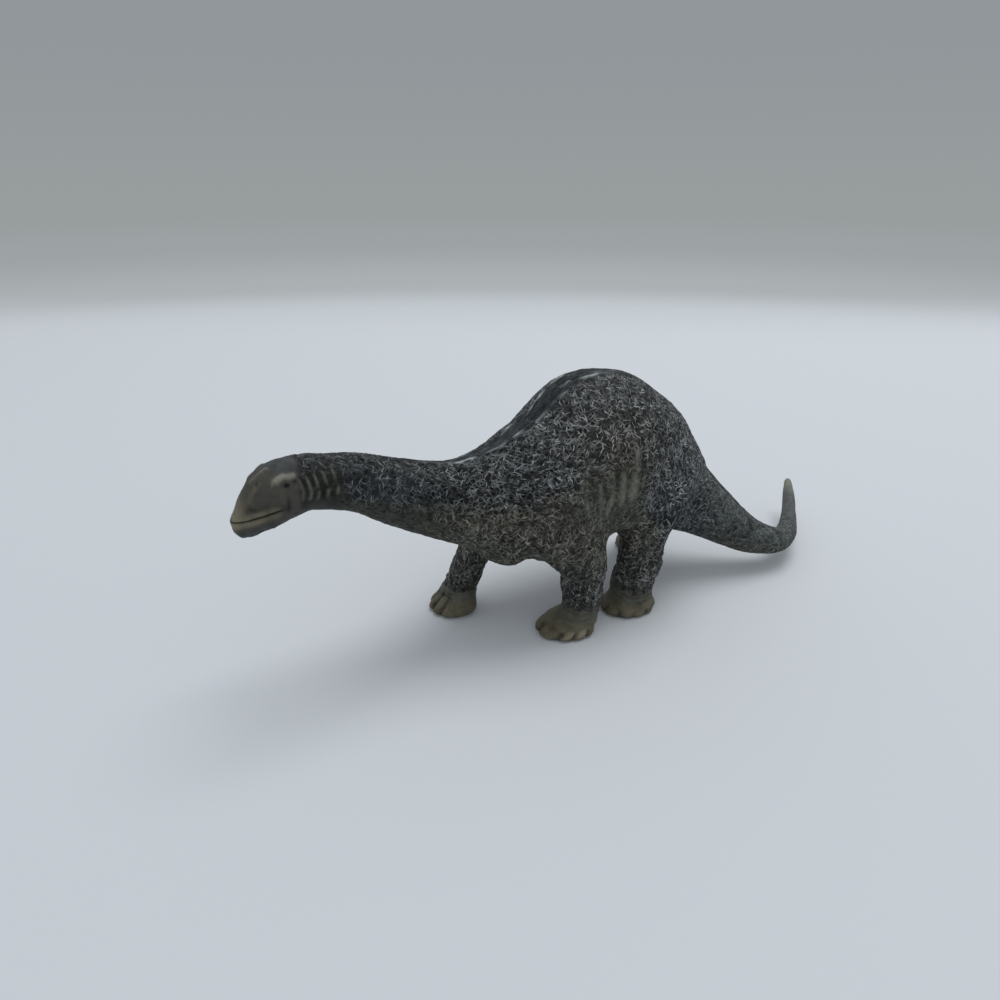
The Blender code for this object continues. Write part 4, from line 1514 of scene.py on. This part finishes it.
@dataclass
class Skin:
    """A piece's wrinkled, painted skin, which takes the place of one solid."""

    name: str
    node: str
    slot: str

    def finish(
        self, rings: Array, sculpt: Sculpt, material: bpy.types.Material, halves: bool = False
    ) -> bpy.types.Object:
        """Makes the mesh, and gives it its paint and its place in the figure.

        Args:
            rings: Its points, as closed_skin takes them.
            sculpt: Its paint.
            material: The material that reads the paint.
            halves: Whether the rings are half rings.

        Returns:
            The piece.
        """
        thing = closed_skin(self.name, rings, sculpt, halves)
        thing.data.materials.append(material)
        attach(thing, "root")
        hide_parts(self.node)
        LOG.info("%s: %d faces", thing.name, len(thing.data.polygons))
        return thing


@dataclass
class SpinePiece(Skin):
    """A stretch of the body between two upright joints; None is the form's own end."""

    first: int | None
    last: int | None
    step: float = SKIN_STEP
    angles: tuple[float, float] = (0.0, 360.0)
    legs: tuple[LegForm, ...] = ()
    # Over what length the snout and the tail's tip are drawn in to a round end
    snout_end: float = 1.3
    tail_end: float = 3.2

    def around(self, spine: SpineForm) -> Array:
        """The angles of the points round a ring, a step apart where the piece is widest.

        Args:
            spine: The form.

        Returns:
            The angles in radians.
        """
        start = 0 if self.first is None else self.first * spine.steps
        end = len(spine.table) - 1 if self.last is None else self.last * spine.steps
        half, rise, drop = spine.table[start : end + 1, HALF : DROP + 1].T
        girth = np.pi * (half + (rise + drop) / 2).max()
        share = (self.angles[1] - self.angles[0]) / 360
        count = int(girth * share / self.step)
        return np.radians(np.linspace(*self.angles, count, endpoint=share < 1))

    def ends(self, spine: SpineForm, angle: Array) -> tuple[Array, Array]:
        """The piece's ends, where its joints' upright planes cross the form.

        Args:
            spine: The form.
            angle: The angles of the points round a ring.

        Returns:
            The first and the last place along the path, for each angle.
        """
        found = []
        whole = np.radians(np.arange(360.0))
        for station, default in ((self.first, 0.0), (self.last, len(spine.table) - 1.0)):
            if station is None:
                found.append(np.full(angle.shape, default))
                continue
            point = np.array((spine.joint(station), 0, 0))
            guess = np.full(whole.shape, float(station * spine.steps))
            place = spine.place_at(guess, whole, point, np.array((1.0, 0, 0)))
            place = spread(place, JOINT_SPREAD, wrap=True)
            found.append(np.interp(angle, whole, place, period=2 * np.pi))
        return found[0], found[1]

    def rows(
        self, spine: SpineForm, angle: Array, start: Array, end: Array
    ) -> tuple[Array, Array]:
        """Rings from one place to another, a step apart.

        Near the snout and the tail's tip a ring shrinks by a quarter circle.

        Args:
            spine: The form.
            angle: The angles of the points round a ring.
            start: The first place, for each angle.
            end: The last place, for each angle.

        Returns:
            The rings' points and outward directions.
        """
        order = np.arange(len(spine.reach))
        from_reach = np.interp(start, order, spine.reach)
        to_reach = np.interp(end, order, spine.reach)
        length = (to_reach - from_reach).max() * 1.08
        share = np.linspace(0, 1, int(length / self.step) + 1)[:, None]
        reach = from_reach + (to_reach - from_reach) * share
        place = np.interp(reach, spine.reach, order)
        points, out = spine.ring(place, np.broadcast_to(angle, place.shape))
        row = at_rows(spine.table, place)
        tips = ((reach, -1, self.snout_end), (spine.reach[-1] - reach, 1, self.tail_end))
        for tip, towards, size in tips:
            near = within(1 - tip / size)
            shrink = np.sqrt(np.clip(1 - near**2, 0.0004, 1))[..., None]
            points = row[..., :3] + (points - row[..., :3]) * shrink
            out = unit(out * shrink + towards * row[..., ONWARD] * (1 - shrink))
        return points, out

    def dress(self, spine: SpineForm, points: Array, out: Array) -> tuple[Array, Sculpt]:
        """Flows the form over the legs, then models and paints it.

        Args:
            spine: The form.
            points: The rings' points.
            out: Their outward directions.

        Returns:
            The modelled points and their paint.
        """
        for leg in self.legs:
            points = flow_over(points, out, leg.distance)
        sculpt = Sculpt(spine, points)
        return points + out * sculpt.height[..., None], sculpt

    def build(self, spine: SpineForm, material: bpy.types.Material) -> bpy.types.Object:
        """Builds the piece.

        Args:
            spine: The form.
            material: Its material.

        Returns:
            The piece.
        """
        angle = self.around(spine)
        points, out = self.rows(spine, angle, *self.ends(spine, angle))
        points, sculpt = self.dress(spine, points, out)
        return self.finish(points, sculpt, material, self.angles[1] - self.angles[0] < 360)


@dataclass
class Skull(SpinePiece):
    """The head and the lower jaw, which part along the mouth plane."""

    # The station from which the mouth's corner is looked for
    corner_station: float = 3.0

    def build(self, spine: SpineForm, material: bpy.types.Material) -> bpy.types.Object:
        """Builds the skull, and the jaw where that is the node.

        The points in front of the mouth's corner that lie beyond the mouth plane are put
        on it, and a little inward, so that each piece is closed along the mouth.

        Args:
            spine: The form.
            material: Its material.

        Returns:
            The piece.
        """
        angle = self.around(spine)
        start, end = self.ends(spine, angle)
        guess = np.full(angle.shape, self.corner_station * spine.steps)
        corner = spine.place_at(guess, angle, MOUTH_PLACE, -MOUTH_AHEAD)
        points, out = self.rows(spine, angle, start, corner)
        front = len(points)
        side = -1 if self.node == "lower_jaw" else 1
        if side > 0:
            behind, behind_out = self.rows(spine, angle, corner, end)
            points = np.vstack((points, behind))
            out = np.vstack((out, behind_out))
        points, sculpt = self.dress(spine, points, out)
        over = (points - MOUTH_PLACE) @ MOUTH_UP - side * LIP_GAP / 2
        wrong = np.where(side * over < 0, over, 0)
        wrong[front:] = 0
        deep = np.abs(wrong)
        points = points - wrong[..., None] * MOUTH_UP - 0.5 * deep[..., None] * MOUTH_AHEAD
        points[..., 1] -= (points[..., 1] - ORIGIN[1]) * within(0.08 * deep, 0.6)
        return self.finish(points, sculpt, material)


@dataclass
class LegPiece(Skin):
    """A leg from its flat sole up to where it sinks into the body."""

    form: LegForm
    foot: Foot
    step: float = SKIN_STEP

    def away(self, angle: Array, turn: float) -> Array:
        """How far angles are, in radians, from a turn in degrees from ahead outwards."""
        middle = np.radians(90 - self.form.side.value * turn)
        return np.abs(np.angle(np.exp(1j * (angle - middle))))

    def top(self, spine: SpineForm, angle: Array) -> Array:
        """The level on each angle at which the leg is deep enough inside the body.

        Args:
            spine: The body's form.
            angle: The angles of the points round a ring.

        Returns:
            The levels in mm.
        """
        levels = np.linspace(0, self.form.table[-1, 2], 161)[:, None]
        points = self.form.ring(levels + 0 * angle, angle + 0 * levels)[0]
        deep = spine.distance(points) < -1.6 * SUNK
        deep[-1] = True
        return spread(levels[np.argmax(deep, axis=0), 0], JOINT_SPREAD, wrap=True)

    def toes(self, angle: Array, level: Array) -> tuple[Array, Array, Array]:
        """The relief of toes, ankle and sole.

        Each toe is a bell over the angle round the foot. Between two bells the skin is
        drawn in, most near the floor. The ankle's front is drawn in by a bell over the
        level, and the sole's rim is rounded by a quarter circle.

        Args:
            angle: The points' angles round the leg.
            level: The points' levels.

        Returns:
            How deep the foot is drawn in, in mm, then the shares of grooves and nails.
        """
        foot = self.foot
        nails = np.zeros_like(angle)
        bells = np.zeros_like(angle)
        for turn, half, pale in foot.toes:
            off = self.away(angle, turn)
            bells = np.maximum(bells, bell(off, 0, half, 4))
            disc = bell(off, 0, foot.nail_half, 4)
            disc = disc * bell(level, foot.nail_level, foot.nail_reach, 4)
            nails = np.maximum(nails, pale * disc)
        low = step_up(level, foot.groove_height, 0.65 * foot.groove_height)
        grooves = step_up(self.away(angle, 50), 1.75, 1.45) * low * (1 - bells)
        swell = foot.swell * bells * bell(level, foot.nail_level, foot.nail_reach)
        front = step_up(self.away(angle, -30), 1.7, 0.7)
        waist = foot.waist * front * bell(level, foot.waist_level, foot.waist_reach)
        under = np.clip(foot.rim - level, 0, foot.rim)
        rounded = foot.rim - np.sqrt(np.clip(foot.rim**2 - under**2, 0, None))
        return foot.groove * grooves - swell + waist + rounded, grooves, nails

    def build(self, spine: SpineForm, material: bpy.types.Material) -> bpy.types.Object:
        """Builds the leg.

        Args:
            spine: The body's form, which the leg flows into.
            material: Its material.

        Returns:
            The piece.
        """
        foot, table = self.foot, self.form.table
        girth = np.pi * (table[:, LEG_HALF] + table[:, LEG_FRONT:].mean(1)).max()
        angle = np.linspace(0, 2 * np.pi, int(girth / self.step), endpoint=False)
        top = self.top(spine, angle)
        level = top * np.linspace(0, 1, int(top.max() / self.step) + 1)[:, None]
        angle = np.broadcast_to(angle, level.shape)
        points, out = self.form.ring(level, angle)
        points = flow_over(points, out, spine.distance)
        depth, grooves, nails = self.toes(angle, level)
        border = foot.height + foot.instep * bell(self.away(angle, -37), 0, 0.8)
        over_foot = level + 0.9 * noise(points, 3.0, 31) - border
        sculpt = Sculpt(spine, points, step_up(over_foot, 1.1, -1.1), nails, 1.0)
        # Two creases round the ankle
        creases = bell(over_foot, -1.4, 0.5) + 0.8 * bell(over_foot, -3.6, 0.5)
        creases = creases * within(0.55 + 0.9 * noise(points, 5.0, 32)) * (level > 4)
        rims = 4 * nails * (1 - nails)
        sculpt.groove = within(sculpt.groove + 0.5 * creases + 0.8 * grooves + 0.3 * rims)
        sculpt.coat[..., STROKES] *= 1 - 0.5 * bell(over_foot, 1.4, 1.4)
        lift = sculpt.height - depth - 0.35 * creases
        points = points + out * lift[..., None]
        points[0, :, 2] = 0
        return self.finish(points, sculpt, material)


@dataclass(frozen=True)
class Studio:
    """A pale table top that runs out softly before a grey wall, a wide lamp, an even sky."""

    floor_half: float = 2.4
    floor_colour: str = "#c7cdd4"
    floor_roughness: float = 0.75
    # How far behind the figure, in the camera's direction, the table top runs out, and how
    # far round it on all sides
    runs_out: tuple[float, float] = (0.46, 0.88)
    runs_out_round: tuple[float, float] = (1.0, 2.3)
    # A phone's main lens, in mm, and where it is held
    lens: float = 25.92
    sensor: float = 36.0
    near: float = 0.01
    camera_place: tuple[float, float, float] = (-0.17880, -0.22909, 0.180)
    camera_tilt: float = 65.0
    camera_turn: float = -30.0
    sky: float = 0.64
    sky_tint: tuple[float, float, float] = (0.965, 0.985, 1.0)
    lamp_watts: float = 29.0
    lamp_width: float = 1.7
    lamp_tint: tuple[float, float, float] = (1.0, 0.985, 0.96)
    lamp_place: tuple[float, float, float] = (0.85, 0.30, 2.4)
    # The wall's colours by how high the eye looks: upward part of the view's direction
    wall: tuple[tuple[float, str], ...] = (
        (-0.222, "#c7cdd4"), (-0.177, "#bfc6cb"), (-0.142, "#abb0b3"), (-0.09, "#9da2a4"),
        (-0.053, "#989d9e"), (0.137, "#92979b"),
    )

    def paper(self) -> bpy.types.Material:
        """Matt, uncoated paper: a pale sheet without any gloss, clear where it runs out.

        Returns:
            The material.
        """
        made = bpy.data.materials.new("matt_paper")
        made.use_nodes = True
        tree = made.node_tree
        shader = tree.nodes["Principled BSDF"]
        shader.inputs["Roughness"].default_value = self.floor_roughness
        shader.inputs["Base Color"].default_value = (*linear(self.floor_colour), 1)
        place = add(tree, "ShaderNodeTexCoord").outputs["Object"]
        turn = math.radians(self.camera_turn)
        behind = add(
            tree, "ShaderNodeVectorMath",
            {0: place, 1: (-math.sin(turn), math.cos(turn), 0.0)}, operation="DOT_PRODUCT",
        )
        around = add(tree, "ShaderNodeVectorMath", {0: place}, operation="LENGTH")
        clear = [
            add(
                tree, "ShaderNodeMapRange",
                {"Value": measured.outputs["Value"], "From Min": low, "From Max": high},
                interpolation_type="SMOOTHSTEP",
            )
            for measured, (low, high) in ((behind, self.runs_out), (around, self.runs_out_round))
        ]
        share = add(tree, "ShaderNodeMath", {0: clear[0], 1: clear[1]}, operation="MAXIMUM")
        none = add(tree, "ShaderNodeBsdfTransparent")
        mixed = add(tree, "ShaderNodeMixShader", {0: share, 1: shader, 2: none})
        tree.links.new(mixed.outputs[0], tree.nodes["Material Output"].inputs["Surface"])
        return made

    def floor(self) -> bpy.types.Object:
        """The table top, a flat square round the figure.

        Returns:
            The table top.
        """
        mesh = bpy.data.meshes.new("table_top")
        half = self.floor_half
        corners = ((-half, -half, 0), (half, -half, 0), (half, half, 0), (-half, half, 0))
        mesh.from_pydata(corners, [], [(0, 1, 2, 3)])
        mesh.materials.append(self.paper())
        table = bpy.data.objects.new("table_top", mesh)
        bpy.context.scene.collection.objects.link(table)
        return table

    def light(self) -> None:
        """An even sky for the fill, and a wide lamp high on the right behind the figure."""
        world = bpy.context.scene.world or bpy.data.worlds.new("even_sky")
        bpy.context.scene.world = world
        world.use_nodes = True
        tree = world.node_tree
        tree.nodes.clear()
        way = add(tree, "ShaderNodeTexCoord").outputs["Generated"]
        height = add(tree, "ShaderNodeSeparateXYZ", {0: way}).outputs["Z"]
        low, high = self.wall[0][0], self.wall[-1][0]
        share = add(tree, "ShaderNodeMapRange", {"Value": height, "From Min": low, "From Max": high})
        ramp = add(tree, "ShaderNodeValToRGB", {0: share})
        ramp.color_ramp.interpolation = "EASE"
        stops = ramp.color_ramp.elements
        for number, (level, code) in enumerate(self.wall):
            spot = (level - low) / (high - low)
            # A new ramp has two stops already
            stop = stops[number] if number < 2 else stops.new(spot)
            stop.position = spot
            stop.color = (*linear(code), 1)
        seen = add(tree, "ShaderNodeBackground", {"Color": ramp.outputs["Color"], "Strength": 1.0})
        lit = add(tree, "ShaderNodeBackground", {"Color": (*self.sky_tint, 1), "Strength": self.sky})
        path = add(tree, "ShaderNodeLightPath")
        pick = add(tree, "ShaderNodeMixShader", {0: path.outputs["Is Camera Ray"], 1: lit, 2: seen})
        add(tree, "ShaderNodeOutputWorld", {"Surface": pick})
        lamp = bpy.data.lights.new("soft_lamp", "AREA")
        lamp.shape = "DISK"
        lamp.size = self.lamp_width
        lamp.energy = self.lamp_watts
        lamp.color = self.lamp_tint
        thing = bpy.data.objects.new("soft_lamp", lamp)
        thing.location = self.lamp_place
        thing.rotation_euler = (-thing.location).to_track_quat("-Z", "Y").to_euler()
        bpy.context.scene.collection.objects.link(thing)

    def camera(self) -> None:
        """A phone held at the figure's head end, above it on its left."""
        lens = bpy.data.cameras.new("camera")
        lens.lens = self.lens
        lens.sensor_width = self.sensor
        lens.clip_start = self.near
        thing = bpy.data.objects.new("camera", lens)
        thing.location = self.camera_place
        turn = (math.radians(self.camera_tilt), 0, math.radians(self.camera_turn))
        thing.rotation_euler = Euler(turn)
        bpy.context.scene.collection.objects.link(thing)
        bpy.context.scene.camera = thing


def legs() -> dict[str, LegForm]:
    """The four legs' forms.

    Returns:
        The forms by the names of their nodes.
    """
    fore = (SHOULDER_HEIGHT, *FORELEG_SIZES)
    hind = (HIP_HEIGHT, *HINDLEG_SIZES)
    return {
        "left_foreleg": LegForm(LEFT_FORELEG_SHARES, *fore, Side.LEFT),
        "right_foreleg": LegForm(RIGHT_FORELEG_SHARES, *fore, Side.RIGHT),
        "left_hindleg": LegForm(LEFT_HINDLEG_SHARES, *hind, Side.LEFT),
        "right_hindleg": LegForm(RIGHT_HINDLEG_SHARES, *hind, Side.RIGHT),
    }


def main() -> None:
    """Builds the skins from head to tail, then the legs, the table and the light."""
    logging.basicConfig(level=logging.INFO, format="%(message)s")
    spine = SpineForm()
    forms = legs()
    left = tuple(form for form in forms.values() if form.side is Side.LEFT)
    right = tuple(form for form in forms.values() if form.side is Side.RIGHT)
    hide = PaintedVinyl().material()
    head = (None, HEAD_JOINT, FACE_STEP)
    trunk = (NECK_JOINT, TAIL_JOINT, TRUNK_STEP)
    pieces = [
        Skull("head_skin", "head", "head_skin", *head),
        Skull("jaw_skin", "lower_jaw", "jaw_skin", *head),
        SpinePiece("neck_skin", "neck", "neck_skin", HEAD_JOINT, NECK_JOINT),
        SpinePiece("trunk_left_skin", "trunk_left_shell", "trunk_skin", *trunk, (-90, 90), left),
        SpinePiece("trunk_right_skin", "trunk_right_shell", "trunk_skin", *trunk, (90, 270), right),
        SpinePiece("tail_skin", "tail", "tail_skin", TAIL_JOINT, None, TAIL_STEP, legs=left + right),
    ]
    for node, form in forms.items():
        pieces.append(LegPiece(f"{node}_skin", node, "leg_skin", form, FEET[node]))
    for piece in pieces:
        piece.build(spine, hide)
    studio = Studio()
    studio.floor()
    studio.light()
    studio.camera()
    scene = bpy.context.scene
    scene.view_settings.view_transform = "Standard"


if __name__ == "__main__":
    main()
